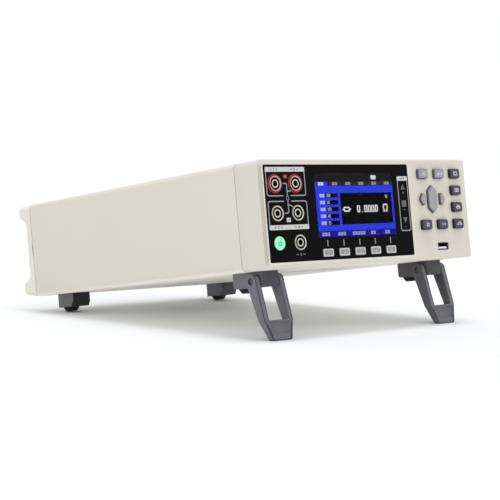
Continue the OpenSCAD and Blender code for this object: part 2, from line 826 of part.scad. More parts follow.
// Moulded bumper: side waists with a lobe across the top and one across the bottom
module rear_bumper() {
    standing() color(case_colour) difference() {
        intersection() {
            across(0, case_w) rear_side_outline();
            centred_on_case() slab(bumper_y0, bumper_y0 + lobe_d + 1)
                rounded_rect(case_w, case_h, case_r);
            linear_extrude(case_h) translate([case_w / 2, bumper_y0 + lobe_d]) rotate(180)
                nose_outline(case_w, 0, lobe_d, lobe_corner_r);
        }
        slab(bumper_y0 - 1, panel_y1) panel_outline(0.2);
        centred_on_case() slab(bumper_y0, bumper_y0 + lobe_d + 1)
            rounded_rect(case_w - 2 * rail_w, case_h - 2 * rail_h, 3);
        for (c = CORNERS) {
            rod(c[0], c[1], bumper_y0 - 1, bumper_y0 + lobe_d + 1, port_bore + 0.3);
            rod(c[0], c[1], bumper_y0 + 5, bumper_y0 + lobe_d + 1, 7.2);
        }
        // Small pry slots in the side seams
        for (x = [-1, case_w - 2]) translate([x, bumper_y0, 40]) cube([3, seam + 1.2, 10]);
    }
}

inlet_x = 40;
inlet_z = case_h / 2 + 2;
inlet_body_w = 27.5;
inlet_body_h = 38;
serial_x = 205;
handler_x = 138;
port_row_z = 26;
earth_x = 74;
earth_z = 22;

module rear_panel() {
    standing() color(metal_colour) difference() {
        slab(panel_y0, panel_y1) panel_outline(0);
        at([inlet_x, inlet_z]) slab(panel_y0 - 1, panel_y1 + 1)
            square([inlet_body_w + 0.4, inlet_body_h + 0.4], center = true);
        at([serial_x, port_row_z]) slab(panel_y0 - 1, panel_y1 + 1) dsub_outline(serial_w, 0.3);
        at([handler_x, port_row_z]) slab(panel_y0 - 1, panel_y1 + 1) dsub_outline(handler_w, 0.3);
        rod(earth_x, earth_z, panel_y0 - 1, panel_y1 + 1, 4.2);
        for (x = [110:7:222]) at([x, 60]) slab(panel_y0 - 1, panel_y1 + 1) rounded_rect(3, 24, 1.4);
    }
}

block_r = 2.4;
plug_d = 8;
plug_h = 4;

// Front foot block, wrapped by its tilt leg
module front_foot() {
    front_y = pivot_y - front_block_nose;
    rear_y = pivot_y + front_block_len;
    across(leg_x - block_w / 2, leg_x + block_w / 2) difference() {
        union() {
            translate([front_y, block_r - block_h]) square([rear_y - front_y, block_h - block_r]);
            translate([front_y + block_r, -block_h]) square([rear_y - front_y - 2 * block_r, block_h]);
            for (y = [front_y + block_r, rear_y - block_r])
                translate([y, block_r - block_h]) circle(block_r);
        }
        translate([pivot_y, pivot_z]) circle(d = pin_d);
    }
}

module pad_socket(x, y) {
    translate([x, y, -block_h - 1]) cylinder(d = plug_d, h = plug_h + 1);
}

module front_foot_left() {
    standing() color(foot_colour) difference() {
        front_foot();
        pad_socket(leg_x, front_pad_y);
    }
}

module front_foot_right() {
    standing() color(foot_colour) right_side() difference() {
        front_foot();
        pad_socket(leg_x, front_pad_y);
    }
}

rear_foot_x = rear_block_inset + rear_block_w / 2;

module rear_foot() {
    difference() {
        intersection() {
            translate([rear_foot_x, rear_block_y1 - rear_block_len / 2, -block_h])
                linear_extrude(block_h) rounded_rect(rear_block_w, rear_block_len, 2);
            across(rear_foot_x - rear_block_w, rear_foot_x + rear_block_w) translate([rear_block_y1, 0])
                polygon([[0, 0], [0, -block_h], [4 - rear_block_len, -block_h],
                    [-rear_block_len, -block_h + 6], [-rear_block_len, 0]]);
        }
        pad_socket(rear_foot_x, rear_pad_y);
    }
}

module rear_foot_left() {
    standing() color(foot_colour) rear_foot();
}

module rear_foot_right() {
    standing() color(foot_colour) right_side() rear_foot();
}

// Rubber pads: a plug in the block and a tapered sole below it
module foot_pad(x, y) {
    translate([x, y, -block_h - pad_h]) cylinder(d1 = pad_foot_d, d2 = pad_top_d, h = pad_h);
    translate([x, y, -block_h - eps]) cylinder(d = plug_d - 0.1, h = plug_h - 0.2);
}

module foot_pads() {
    standing() color(dark_colour) {
        foot_pad(leg_x, front_pad_y);
        foot_pad(rear_foot_x, rear_pad_y);
        right_side() foot_pad(leg_x, front_pad_y);
        right_side() foot_pad(rear_foot_x, rear_pad_y);
    }
}

pin_head_d = pin_d + 1.6;
pin_head_t = 1.2;
pin_head_sunk = 0.7;
toe_half = 10.8;
toe_field = [10, 1.5, 11.5];
toe_r = 3;

module leg_side_outline() {
    translate([pivot_y, pivot_z]) {
        circle(leg_eye_r);
        polygon([[-leg_eye_r, 0], [knee_front, -knee_drop],
            [tip_front, -tip_drop - (tip_back - tip_front) * tan(lean)], [tip_back, -tip_drop],
            [knee_back, -knee_drop], [leg_eye_r, 0]]);
    }
}

// Front outline of a leg from its middle and pivot: arms, then a taper to the toe's round corners
module leg_front_outline() {
    half = leg_w / 2;
    sole = -tip_drop - (tip_back - tip_front) * tan(lean);
    fall = -knee_drop - sole;
    corner = 180 - atan(fall / (half - toe_half));
    tangent = toe_r / tan(corner / 2);
    side = [half - toe_half, fall] / norm([half - toe_half, fall]) * tangent;
    polygon([[-half, leg_eye_r], [-half, -knee_drop], [-toe_half - side[0], sole + side[1]],
        [-toe_half + tangent, sole], [toe_half - tangent, sole], [toe_half + side[0], sole + side[1]],
        [half, -knee_drop], [half, leg_eye_r]]);
    for (s = [-1, 1]) translate([s * (toe_half - tangent), sole + toe_r]) circle(toe_r);
}

// Tilt leg: two arms round the foot block, joined below in a tapered toe
module tilt_leg() {
    head_depth = pin_head_sunk + pin_head_t + free_gap;
    difference() {
        intersection() {
            across(leg_x - leg_w / 2, leg_x + leg_w / 2) leg_side_outline();
            translate([leg_x, 0, pivot_z]) slab(0, pivot_y + leg_eye_r) leg_front_outline();
        }
        // Window between the arms
        translate([leg_x, 0, pivot_z - knee_drop + 10]) slab(0, pivot_y + leg_eye_r + 1) {
            rounded_rect(leg_window, 20, 1.2);
            translate([-leg_window / 2, 0]) square([leg_window, knee_drop]);
        }
        cross_rod(pivot_y, pivot_z, 0, leg_x + leg_w, pin_d + 2 * pin_clearance);
        // Sunk places for the pin's heads
        for (s = [-1, 1]) translate([leg_x + s * leg_w / 2, 0, 0])
            cross_rod(pivot_y, pivot_z, -head_depth, head_depth, pin_head_d + 2 * free_gap);
        toe_pockets();
    }
}

// Front of the toe at a drop below the knee, behind the pivot
function toe_front(drop) = knee_front + (tip_front - knee_front) * drop / (tip_drop - knee_drop);

// Shallow field on the front of the toe and two cored pockets behind it, with a rib between
module toe_pockets() {
    across(leg_x - toe_field[0], leg_x + toe_field[0]) translate([pivot_y, pivot_z - knee_drop])
        polygon([[tip_front - 3, -toe_field[1]], [toe_front(toe_field[1]) + 0.5, -toe_field[1]],
            [toe_front(toe_field[2]) + 0.5, -toe_field[2]], [tip_front - 3, -toe_field[2]]]);
    translate([leg_x, 0, pivot_z - knee_drop - 3])
        for (s = [-1, 1]) scale([s, 1, 1]) slab(pivot_y + knee_front + 3, pivot_y)
            polygon([[0.8, 0.6], [toe_half - 2, 0.6], [toe_half - 3.6, -8], [0.8, -8]]);
}

module tilt_leg_left() {
    standing() color(foot_colour) tilt_leg();
}

module tilt_leg_right() {
    standing() color(foot_colour) right_side() tilt_leg();
}

// Hinge pins with a turned head at either end
module leg_pin() {
    reach = leg_w / 2 - pin_head_sunk;
    cross_rod(pivot_y, pivot_z, leg_x - reach, leg_x + reach, pin_d);
    for (s = [-1, 1]) translate([leg_x + s * (reach - pin_head_t / 2), 0, 0])
        cross_rod(pivot_y, pivot_z, -pin_head_t / 2, pin_head_t / 2, pin_head_d);
}

module leg_pins() {
    standing() color(metal_colour) {
        leg_pin();
        right_side() leg_pin();
    }
}

// Main board, cut back at the left rear for the transformer
module main_board() {
    standing() color(board_colour) difference() {
        translate([main_x0, main_y0, main_z]) cube([main_x1 - main_x0, main_y1 - main_y0, board_t]);
        translate([main_x0 - 1, bay_y, main_z - 1])
            cube([bay_x - main_x0 + 1, main_y1 - bay_y + 1, board_t + 2]);
        for (s = STANDOFFS) translate([s[0], s[1], main_z - 1]) cylinder(d = 3.2, h = board_t + 2);
    }
}

module board_standoffs() {
    standing() color([0.8, 0.66, 0.3]) for (s = STANDOFFS) translate([s[0], s[1], plate_t])
        cylinder(d = 6.4, h = main_z - plate_t, $fn = 6);
}

// Relays, capacitors, screening can and chips of the main board
module board_parts() {
    top = main_z + board_t;
    standing() color([0.25, 0.27, 0.3]) translate([0, 0, top]) {
        for (i = [0:5]) translate([main_x0 + 36 + i * relay_pitch, relay_y, 0]) cube(relay);
        for (i = [0:2]) translate([bay_x + 26 + i * (capacitor_d + 4), main_y1 - 33, 0])
            cylinder(d = capacitor_d, h = 28);
        translate([main_x0 + 42, can_y, 0]) cube(can);
        translate([sink_x - 16, sink_y - 65, 0]) cube([20, 20, 2]);
        translate([sink_x + 14, sink_y - 63, 0]) cube([14, 14, 2]);
    }
}

core_w = 66;
core_d = 56;
core_h = 40;
rail_t = 2;
winding = 7;

// Laminated core on its two mounting rails, with the wound bobbin through it
module transformer() {
    standing() color([0.35, 0.3, 0.26]) translate([main_x0 + 10, bay_y + 10, plate_t]) {
        translate([0, 0, rail_t]) cube([core_w, core_d, core_h]);
        for (y = [0, core_d - 8]) translate([-3, y, 0]) cube([core_w + 6, 8, rail_t + eps]);
        translate([2 * winding, -winding, winding + 1])
            cube([core_w - 4 * winding, core_d + 2 * winding, core_h - 12]);
    }
}

// Finned heat sink standing on the main board
module heat_sink() {
    fins = 9;
    fin_t = 1.6;
    standing() color([0.2, 0.2, 0.22]) translate([sink_x, sink_y, main_z + board_t]) {
        cube([4, sink_len, sink_h]);
        for (i = [0:fins - 1]) translate([3, i * (sink_len - fin_t) / (fins - 1), 0])
            cube([27, fin_t, sink_h]);
    }
}

inlet_face_y = panel_y1 + 2.5;
drawer_z = -12.5;
socket_up = 7;

module inlet_mouth(g) {
    polygon([[-12 - g, -8 - g], [12 + g, -8 - g], [12 + g, 3], [7 + g / 2, 8 + g], [-7 - g / 2, 8 + g],
        [-12 - g, 3]]);
}

// Mains inlet with its fuse slot below
module mains_inlet() {
    standing() color(dark_colour) at([inlet_x, inlet_z]) difference() {
        union() {
            slab(panel_y1, inlet_face_y) rounded_rect(34, 44, 3);
            slab(panel_y1 - 26, panel_y1 + eps) square([inlet_body_w, inlet_body_h], center = true);
        }
        translate([0, 0, socket_up]) slab(inlet_face_y - 16, inlet_face_y + 1) inlet_mouth(0);
        translate([0, 0, drawer_z]) slab(inlet_face_y - 24, inlet_face_y + 1)
            square([23, 9], center = true);
        translate([0, 0, socket_up]) inlet_blades(panel_y1 - 27, inlet_face_y - 15);
    }
}

module inlet_blades(y0, y1) {
    for (p = [[-7, -2], [0, 3], [7, -2]]) slab(y0, y1) translate(p) square([2, 4], center = true);
}

module inlet_pins() {
    standing() color(metal_colour) at([inlet_x, inlet_z + socket_up])
        inlet_blades(inlet_face_y - 32, inlet_face_y - 3);
}

// Fuse drawer with its grip and two glass fuses side by side
module fuse_drawer() {
    drawer_w = 23 - 2 * free_gap;
    drawer_h = 9 - 2 * free_gap;
    standing() color([0.16, 0.16, 0.17]) at([inlet_x, inlet_z + drawer_z]) {
        slab(inlet_face_y + free_gap, inlet_face_y + 2) rounded_rect(25, 10, 1);
        difference() {
            slab(inlet_face_y - 23, inlet_face_y + free_gap + eps)
                square([drawer_w, drawer_h], center = true);
            for (s = [-1, 1]) rod(s * 5.6, 1, inlet_face_y - 22, inlet_face_y - 1, 5.6);
            translate([0, 0, 4]) slab(inlet_face_y - 22, inlet_face_y - 1) square([17, 5], center = true);
        }
        for (s = [-1, 1]) rod(s * 5.6, 1, inlet_face_y - 21.5, inlet_face_y - 1.5, 5.2);
    }
}

// Earth screw with washer and milled nut
module earth_terminal() {
    standing() color([0.8, 0.66, 0.3]) {
        rod(earth_x, earth_z, panel_y0 - 8, panel_y1 + 11, 4);
        rod(earth_x, earth_z, panel_y1, panel_y1 + 1, 10);
        rod(earth_x, earth_z, panel_y1 + 1 - eps, panel_y1 + 6, 8);
        slab(panel_y0 - 3, panel_y0) translate([earth_x, earth_z]) circle(d = 8, $fn = 6);
    }
}

serial_w = 16.9;
handler_w = 38.9;
dsub_h = 8.3;
contact_pitch = 2.77;
contact_rows = 2.84;

// D shaped outline, wide edge up, grown by g
module dsub_outline(w, g) {
    polygon([[-w / 2 - g, dsub_h / 2 + g], [w / 2 + g, dsub_h / 2 + g], [w / 2 - 1.5 + g, -dsub_h / 2 - g],
        [-w / 2 + 1.5 - g, -dsub_h / 2 - g]]);
}

// Socketed D connector: flange, shell, body and two jack posts
module dsub(x, w, columns) {
    standing() color(metal_colour) at([x, port_row_z]) {
        difference() {
            union() {
                slab(panel_y0 - 1, panel_y0) rounded_rect(w + 14, 12.4, 1.5);
                slab(panel_y0 - eps, panel_y1 + 4) dsub_outline(w, 0);
                slab(panel_y0 - 12, panel_y0 - 1 + eps) square([w + 2, 9], center = true);
            }
            for (row = [0, 1]) for (i = [0:columns - 1 - row])
                rod((i - (columns - 1 - row) / 2) * contact_pitch, (0.5 - row) * contact_rows,
                    panel_y1 - 1, panel_y1 + 5, 1.1);
        }
        for (s = [-1, 1]) translate([s * (w / 2 + 4), 0, 0]) slab(panel_y1, panel_y1 + 4)
            circle(d = 5.4, $fn = 6);
    }
}

module serial_port() { dsub(serial_x, serial_w, 5); }
module handler_port() { dsub(handler_x, handler_w, 13); }

// Long screws through the bumper, short ones through the feet and the board
module case_screws() {
    standing() color(metal_colour) {
        for (c = CORNERS) pan_screw(c[0], c[1], bumper_y0 + 5, 22, port_bore - 0.1);
        for (s = STANDOFFS) translate([s[0], s[1], main_z + board_t]) cylinder(d = 5.5, h = 2);
    }
}

front_bezel();
front_overlay();
display_window();
lcd_module();
lcd_screen();
socket_drive_high();
socket_sense_high();
socket_drive_low();
socket_sense_low();
socket_guard();
socket_contacts();
socket_nuts();
socket_leads();
power_button();
for (i = [1:5]) function_key(i);
escape_key();
enter_key();
page_key();
compare_key();
lock_key();
zero_key();
hold_key();
trigger_key();
left_key();
right_key();
up_down_rocker();
rocker_pin();
front_board();
key_switches();
front_screws();
usb_shell();
usb_tongue();
sleeve();
bottom_plate();
rear_bumper();
rear_panel();
front_foot_left();
front_foot_right();
rear_foot_left();
rear_foot_right();
tilt_leg_left();
tilt_leg_right();
leg_pins();
foot_pads();
main_board();
board_standoffs();
board_parts();
transformer();
heat_sink();
mains_inlet();
inlet_pins();
fuse_drawer();
earth_terminal();
serial_port();
handler_port();
case_screws();
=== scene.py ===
import json
import math

import bmesh
import bpy
import numpy as np
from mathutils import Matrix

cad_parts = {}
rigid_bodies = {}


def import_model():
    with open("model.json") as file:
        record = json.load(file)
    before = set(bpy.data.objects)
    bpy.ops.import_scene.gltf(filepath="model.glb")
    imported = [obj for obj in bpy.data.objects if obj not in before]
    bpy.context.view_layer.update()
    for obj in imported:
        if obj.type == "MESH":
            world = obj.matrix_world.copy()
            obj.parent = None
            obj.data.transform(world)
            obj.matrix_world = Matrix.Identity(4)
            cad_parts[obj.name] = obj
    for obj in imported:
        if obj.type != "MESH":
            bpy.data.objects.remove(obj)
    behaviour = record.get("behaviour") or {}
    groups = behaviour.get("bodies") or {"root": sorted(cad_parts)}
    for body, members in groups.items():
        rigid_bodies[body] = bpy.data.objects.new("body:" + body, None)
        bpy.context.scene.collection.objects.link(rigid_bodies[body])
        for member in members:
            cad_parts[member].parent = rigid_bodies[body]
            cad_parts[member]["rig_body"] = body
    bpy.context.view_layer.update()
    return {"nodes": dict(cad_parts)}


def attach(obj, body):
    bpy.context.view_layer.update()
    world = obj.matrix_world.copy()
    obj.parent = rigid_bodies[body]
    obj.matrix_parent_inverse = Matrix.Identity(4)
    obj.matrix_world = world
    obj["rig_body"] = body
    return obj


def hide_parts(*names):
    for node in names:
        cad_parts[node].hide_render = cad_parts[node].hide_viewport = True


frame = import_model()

# Front bezel
# One moulding in warm white ABS, 30 mm deep. Its face has a bevelled recess for the black panel and a
# well for every key, and a thin tongue pushes into the sleeve behind it.

nodes = frame["nodes"]
CASE_W = 252.0
CASE_LEAN = math.radians(7.401251642632696)
MIDDLE_Y = 184.6225164279557
LIFT = 60.04945608235467
COS, SIN = math.cos(CASE_LEAN), math.sin(CASE_LEAN)
FRONT_FACE, UNDERSIDE = -MIDDLE_Y * COS - LIFT * SIN, LIFT * COS - MIDDLE_Y * SIN
FACES_FRONT, FACES_DOWN = (0, -COS, SIN), (0, -SIN, -COS)
MOULDED_WHITE = (219, 214, 203)
BEVEL_HIGHLIGHT = (226, 222, 211)
MARGIN_SHADE = (190, 183, 171)
UNDERSIDE_PAINTED_LIGHT = (244, 241, 234)
BEVEL_FRONT, BEVEL_BACK = 0.02, 0.38
MARGIN_W, MARGIN_DEPTH, MARGIN_LOW, MARGIN_TOP = 4.6, 0.9, 4.5, 85.5


def place(points):
    """Case millimetres (x from the left side, y behind the front face, z above the underside) turned by
    the case's lean, y cos + z sin and z cos - y sin, and lifted onto the legs, in metres."""
    x, y, z = np.asarray(points, float).reshape(-1, 3).T
    return np.column_stack((x - CASE_W / 2, y * COS + z * SIN - MIDDLE_Y, z * COS - y * SIN + LIFT)) / 1000


def case_place(points):
    """The way back from row metres to case millimetres: y is (Y + middle) cos - (Z - lift) sin, z is
    (Y + middle) sin + (Z - lift) cos."""
    x, y, z = np.asarray(points, float).reshape(-1, 3).T * 1000
    y, z = y + MIDDLE_Y, z - LIFT
    return np.column_stack((x + CASE_W / 2, y * COS - z * SIN, y * SIN + z * COS))


def tint(red, green, blue, share=1.0):
    """Colour read from a screen, 0 to 255, as linear light: ((c + 0.055) / 1.055) ^ 2.4, or c / 12.92 when
    very dark, times a share."""
    c = np.array((red, green, blue)) / 255
    linear = np.where(c <= 0.04045, c / 12.92, ((c + 0.055) / 1.055) ** 2.4) * share
    return (*np.clip(linear, 0, 1).tolist(), 1.0)


def set_up(thing, **settings):
    """Gives a thing its settings."""
    for setting, value in settings.items():
        setattr(thing, setting, value)
    return thing


def in_scene(name, data):
    """New object in the scene, at the origin."""
    made = bpy.data.objects.new(name, data)
    bpy.context.scene.collection.objects.link(made)
    return made


def filled(node, inputs):
    """Fills inputs of a node with values or with other nodes' outputs."""
    for socket, value in inputs.items():
        if isinstance(value, bpy.types.NodeSocket):
            node.id_data.links.new(value, node.inputs[socket])
        else:
            node.inputs[socket].default_value = value


def added(tree, kind, inputs, output=0, **settings):
    """New shader node, set up and filled; gives one of its outputs."""
    node = set_up(tree.nodes.new("ShaderNode" + kind), **settings)
    filled(node, inputs)
    return node.outputs[output]


def new_finish(name, roughness, metallic=0.0, gloss=0.5):
    """Finish with its even values set on the shader; gives the material, its tree and the shader."""
    material = bpy.data.materials.new(name)
    material.use_nodes = True
    tree = material.node_tree
    shader = tree.nodes["Principled BSDF"]
    filled(shader, {"Roughness": roughness, "Metallic": metallic, "Specular IOR Level": gloss})
    return material, tree, shader


def along_case(tree, stretch=(1, 1, 1)):
    """Object coordinates turned back by the lean, so a pattern runs square to the case, and stretched."""
    upright = added(tree, "Mapping", {"Vector": added(tree, "TexCoord", {}, "Object"),
        "Rotation": (CASE_LEAN, 0, 0)})
    return added(tree, "Mapping", {"Vector": upright, "Scale": stretch})


def clouds(tree, size, detail=3.0, stretch=(1, 1, 1)):
    """Soft noise in patches about size millimetres across."""
    return added(tree, "TexNoise", {"Vector": along_case(tree, stretch), "Scale": 1000 / size,
        "Detail": detail}, "Fac")


CLOUD_LOW, CLOUD_HIGH = 0.3, 0.7


def between(factor, low, high):
    """Colour that runs from low to high over the range that the noise fills."""
    ramp = factor.id_data.nodes.new("ShaderNodeValToRGB")
    for end, position, colour in zip(ramp.color_ramp.elements, (CLOUD_LOW, CLOUD_HIGH), (low, high)):
        set_up(end, position=position, color=colour)
    filled(ramp, {"Fac": factor})
    return ramp.outputs["Color"]


def ranged(value, start, end, low, high):
    """Number that runs from low to high while the value runs from start to end."""
    return added(value.id_data, "MapRange", {"Value": value, "From Min": start, "From Max": end,
        "To Min": low, "To Max": high})


def spread(factor, low, high):
    """Number that runs from low to high over the range that the noise fills."""
    return ranged(factor, CLOUD_LOW, CLOUD_HIGH, low, high)


def grained(shader, height, depth):
    """Bumps of depth millimetres that follow a height."""
    filled(shader, {"Normal": added(shader.id_data, "Bump", {"Height": height, "Strength": 1.0,
        "Distance": depth / 1000})})


def moulded(name, colour, roughness=0.45, gloss=0.35, mottle=0.02, patch=60, grain=0.7, depth=0.02):
    """Moulded plastic or a coat of paint: the colour drifts by mottle over wide patches, the polish
    with it, and a fine grain covers it."""
    material, tree, shader = new_finish(name, roughness, gloss=gloss)
    drift = clouds(tree, patch)
    filled(shader, {
        "Base Color": between(drift, tint(*colour, 1 - mottle), tint(*colour, 1 + mottle)),
        "Roughness": spread(drift, roughness - 0.05, roughness + 0.05)})
    grained(shader, clouds(tree, grain, 2.0), depth)
    return material


SHARP, FLAT = math.radians(32), math.radians(0.4)


def softened(node, width, paint, edge_paint=None, steps=2, share_at=None):
    """The surface of a CAD node with its edges rolled off: triangles that meet are joined, flat
    neighbours become one face, and each sharp edge is rounded by width (mm), times the share that
    share_at gives for the edge's middle in case millimetres."""
    cad = nodes[node]
    shell = bmesh.new()
    shell.from_mesh(cad.data)
    bmesh.ops.remove_doubles(shell, verts=shell.verts, dist=2e-6)
    bmesh.ops.dissolve_limit(shell, angle_limit=FLAT, verts=shell.verts, edges=shell.edges)
    if share_at:
        weight = shell.edges.layers.float.new("bevel_weight_edge")
        edges = [edge for edge in shell.edges if edge.calc_face_angle(0) > SHARP]
        middles = case_place([(edge.verts[0].co + edge.verts[1].co) / 2 for edge in edges])
        for edge, share in zip(edges, share_at(middles)):
            edge[weight] = share
    mesh = bpy.data.meshes.new(node + "_finished")
    shell.to_mesh(mesh)
    shell.free()
    mesh.materials.clear()
    mesh.materials.append(paint)
    mesh.shade_smooth()
    piece = in_scene(mesh.name, mesh)
    rolled = set_up(piece.modifiers.new("rolled edges", "BEVEL"), angle_limit=SHARP, offset_type="WIDTH",
        limit_method="WEIGHT" if share_at else "ANGLE", width=width / 1000, segments=steps,
        use_clamp_overlap=True, harden_normals=True)
    if edge_paint:
        mesh.materials.append(edge_paint)
        rolled.material = 1
    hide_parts(node)
    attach(piece, cad["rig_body"])
    return piece


def faced(piece, paint, way, least, most=2.0, where=None):
    """Gives the faces that look along the given way, by a cosine from least to most, another paint. A
    further test may look at their middles in case millimetres."""
    faces = piece.data.polygons
    middles, facing = np.empty(len(faces) * 3), np.empty(len(faces) * 3)
    slots = np.empty(len(faces), np.int32)
    for values, measure in ((middles, "center"), (facing, "normal"), (slots, "material_index")):
        faces.foreach_get(measure, values)
    cosine = facing.reshape(-1, 3) @ way
    chosen = (cosine > least) & (cosine < most)
    if where:
        chosen &= where(case_place(middles))
    slots[chosen] = len(piece.data.materials)
    piece.data.materials.append(paint)
    faces.foreach_set("material_index", slots)


def painted(node, paint):
    """A CAD node that keeps its own surface and gets its finish."""
    cad = nodes[node]
    cad.data.materials.clear()
    cad.data.materials.append(paint)


def case_mm(tree, axis):
    """Place along one axis of the case in its own millimetres."""
    own = added(tree, "Mapping", {"Vector": along_case(tree), "Scale": (1000, 1000, 1000),
        "Location": (CASE_W / 2, -FRONT_FACE, -UNDERSIDE)})
    return added(tree, "SeparateXYZ", {"Vector": own}, axis)


def step_down(value, edge, fade):
    """1 below the edge and 0 above it, with a soft step between. A negative fade turns it round."""
    return ranged(value, edge - fade / 2, edge + fade / 2, 1.0, 0.0)


def reckoned(operation, *values):
    """Result of one operation on an output and further outputs or numbers, from left to right."""
    result = values[0]
    for value in values[1:]:
        result = added(result.id_data, "Math", {0: result, 1: value}, operation=operation)
    return result


def mixed(factor, low, high, kind="MIX"):
    """Blend of two colours by a factor."""
    return added(low.id_data, "Mix", {"Factor": factor, "A": low, "B": high}, "Result",
        data_type="RGBA", blend_type=kind)


def repainted(material, mask, colour):
    """Gives a finish another colour where the mask is 1."""
    shader = material.node_tree.nodes["Principled BSDF"]
    plain = shader.inputs["Base Color"].links[0].from_socket
    filled(shader, {"Base Color": mixed(mask, plain, tint(*colour))})


bezel_plastic = moulded("bezel_plastic", MOULDED_WHITE)
tree = bezel_plastic.node_tree
# Painted shade: the face's left margin, 4.6 mm wide, is painted darker as the shade beside its rounded edge.
repainted(bezel_plastic, reckoned("MULTIPLY",
    step_down(case_mm(tree, "X"), MARGIN_W, 1.6),
    step_down(case_mm(tree, "Y"), MARGIN_DEPTH, 0.8),
    step_down(case_mm(tree, "Z"), MARGIN_LOW, -4.0),
    step_down(case_mm(tree, "Z"), MARGIN_TOP, 4.0)), MARGIN_SHADE)
bezel = softened("front_bezel", 0.35, bezel_plastic)
# Painted highlight: the bevel round the panel's recess is painted lighter than the face, and it is glossier.
faced(bezel, moulded("bezel_bevel", BEVEL_HIGHLIGHT, roughness=0.3), FACES_FRONT, 0.9, 0.995,
    lambda middles: (middles[:, 1] > BEVEL_FRONT) & (middles[:, 1] < BEVEL_BACK))
# Painted light: the bezel's faces that look down are painted lighter, as light thrown up from the table.
faced(bezel, moulded("bezel_underside_painted_light", UNDERSIDE_PAINTED_LIGHT), FACES_DOWN, 0.9)

# Display
# A 4.3 inch colour panel: a folded tin tray, the lit cell in it and a clear window in front. The picture
# is shown as the coloured fields that glow through the cell.

PICTURE_Y = 1.38
SCREEN_LEFT, SCREEN_RIGHT = 61.9, 156.2
SCREEN_LOW, SCREEN_TOP = 24.05, 77.7


def pressed_tin(name, colour=(196, 196, 194), roughness=0.38):
    """Rolled sheet metal with long faint lines, drawn out along the depth of the case."""
    material, tree, shader = new_finish(name, roughness, metallic=1.0)
    lines = clouds(tree, 1.2, 2.0, (1, 0.04, 1))
    filled(shader, {"Base Color": between(lines, tint(*colour, 0.9), tint(*colour, 1.08)),
        "Roughness": spread(lines, roughness - 0.08, roughness + 0.08)})
    grained(shader, lines, 0.01)
    return material


def skin(rings, around, closed=False):
    """Quads between each ring of points and the next; the ends join when closed or get flat caps."""
    i = np.arange(rings if closed else rings - 1)[:, None]
    j = np.arange(around)[None, :]
    nxt, k = (i + 1) % rings, (j + 1) % around
    quads = np.stack((i * around + j, i * around + k, nxt * around + k, nxt * around + j), -1)
    faces = quads.reshape(-1, 4).tolist()
    if not closed:
        faces += [list(range(around))[::-1], list(range((rings - 1) * around, rings * around))]
    return faces


def sheet(outline, front, back):
    """Flat sheet with the outline (x, z), one copy at the front depth and one at the back."""
    outline = np.asarray(outline, float)
    depths = np.repeat((front, back), len(outline))
    points = np.column_stack((np.tile(outline[:, 0], 2), depths, np.tile(outline[:, 1], 2)))
    return points, skin(2, len(outline))


def line(path, width, front, back, closed=False):
    """Flat line of even width: each point of the path moves half the width to either side, along the
    mean of the two normals beside it, made longer at a bend by 1 / cos of half the bend."""
    path = np.asarray(path, float)
    ahead = np.roll(path, -1, 0) - path
    behind = path - np.roll(path, 1, 0)
    if not closed:
        ahead[-1], behind[0] = behind[-1], ahead[0]
    ahead /= np.linalg.norm(ahead, axis=1, keepdims=True)
    behind /= np.linalg.norm(behind, axis=1, keepdims=True)
    mean = ahead + behind
    mean /= np.linalg.norm(mean, axis=1, keepdims=True)
    aside = np.column_stack((-mean[:, 1], mean[:, 0])) / (mean * ahead).sum(1, keepdims=True) * width / 2
    rings = np.empty((len(path), 4, 3))
    for k, (side, y) in enumerate(((1, front), (1, back), (-1, back), (-1, front))):
        rings[:, k, (0, 2)] = path + side * aside
        rings[:, k, 1] = y
    return rings.reshape(-1, 3), skin(len(path), 4, closed)


def eased(corners, radius, steps=5, closed=True):
    """Path through the corners with each corner P eased off: (1 - t)^2 A + 2 t (1 - t) P + t^2 B, where A
    and B lie one radius before and after it. An open path keeps its two ends."""
    corners = np.asarray(corners, float)
    inner, before, after = corners, np.roll(corners, 1, 0), np.roll(corners, -1, 0)
    if not closed:
        inner, before, after = corners[1:-1], corners[:-2], corners[2:]
    before, after = before - inner, after - inner
    a = inner + before / np.linalg.norm(before, axis=1, keepdims=True) * radius
    b = inner + after / np.linalg.norm(after, axis=1, keepdims=True) * radius
    t = np.linspace(0, 1, steps + 1)[None, :, None]
    curve = (1 - t) ** 2 * a[:, None] + 2 * t * (1 - t) * inner[:, None] + t ** 2 * b[:, None]
    curve = curve.reshape(-1, 2)
    return curve if closed else np.vstack((corners[:1], curve, corners[-1:]))


def oblong(x0, z0, x1, z1, radius=0.0):
    """Upright oblong, from the lower left round to the upper left, with its corners eased off."""
    corners = [(x0, z0), (x1, z0), (x1, z1), (x0, z1)]
    return eased(corners, radius) if radius else corners


def disc(x, z, d, steps=24):
    """Round outline: middle plus half the diameter times cos and sin."""
    turn = np.linspace(0, 2 * math.pi, steps, endpoint=False)
    return np.column_stack((x + d / 2 * np.cos(turn), z + d / 2 * np.sin(turn)))


def piece_from(name, parts, paint, body="case", smooth=None, colours=None):
    """New piece from closed surfaces in case millimetres, its faces turned outwards. Colours hold one
    linear colour per part or per point and go into the attribute that the finish reads."""
    points, faces, start = np.vstack([part[0] for part in parts]), [], 0
    for part_points, part_faces in parts:
        faces += [[start + i for i in face] for face in part_faces]
        start += len(part_points)
    mesh = bpy.data.meshes.new(name)
    mesh.from_pydata(place(points).tolist(), [], faces)
    if colours is not None:
        if len(colours) != len(points):
            colours = np.repeat(np.asarray(colours, float), [len(part[0]) for part in parts], axis=0)
        tone = mesh.color_attributes.new("tone", "FLOAT_COLOR", "POINT")
        tone.data.foreach_set("color", np.asarray(colours, float).ravel())
    shell = bmesh.new()
    shell.from_mesh(mesh)
    bmesh.ops.recalc_face_normals(shell, faces=shell.faces)
    shell.to_mesh(mesh)
    shell.free()
    if smooth:
        mesh.shade_smooth()
        mesh.set_sharp_from_angle(angle=math.radians(smooth))
    mesh.materials.append(paint)
    piece = in_scene(name, mesh)
    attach(piece, body)
    return piece


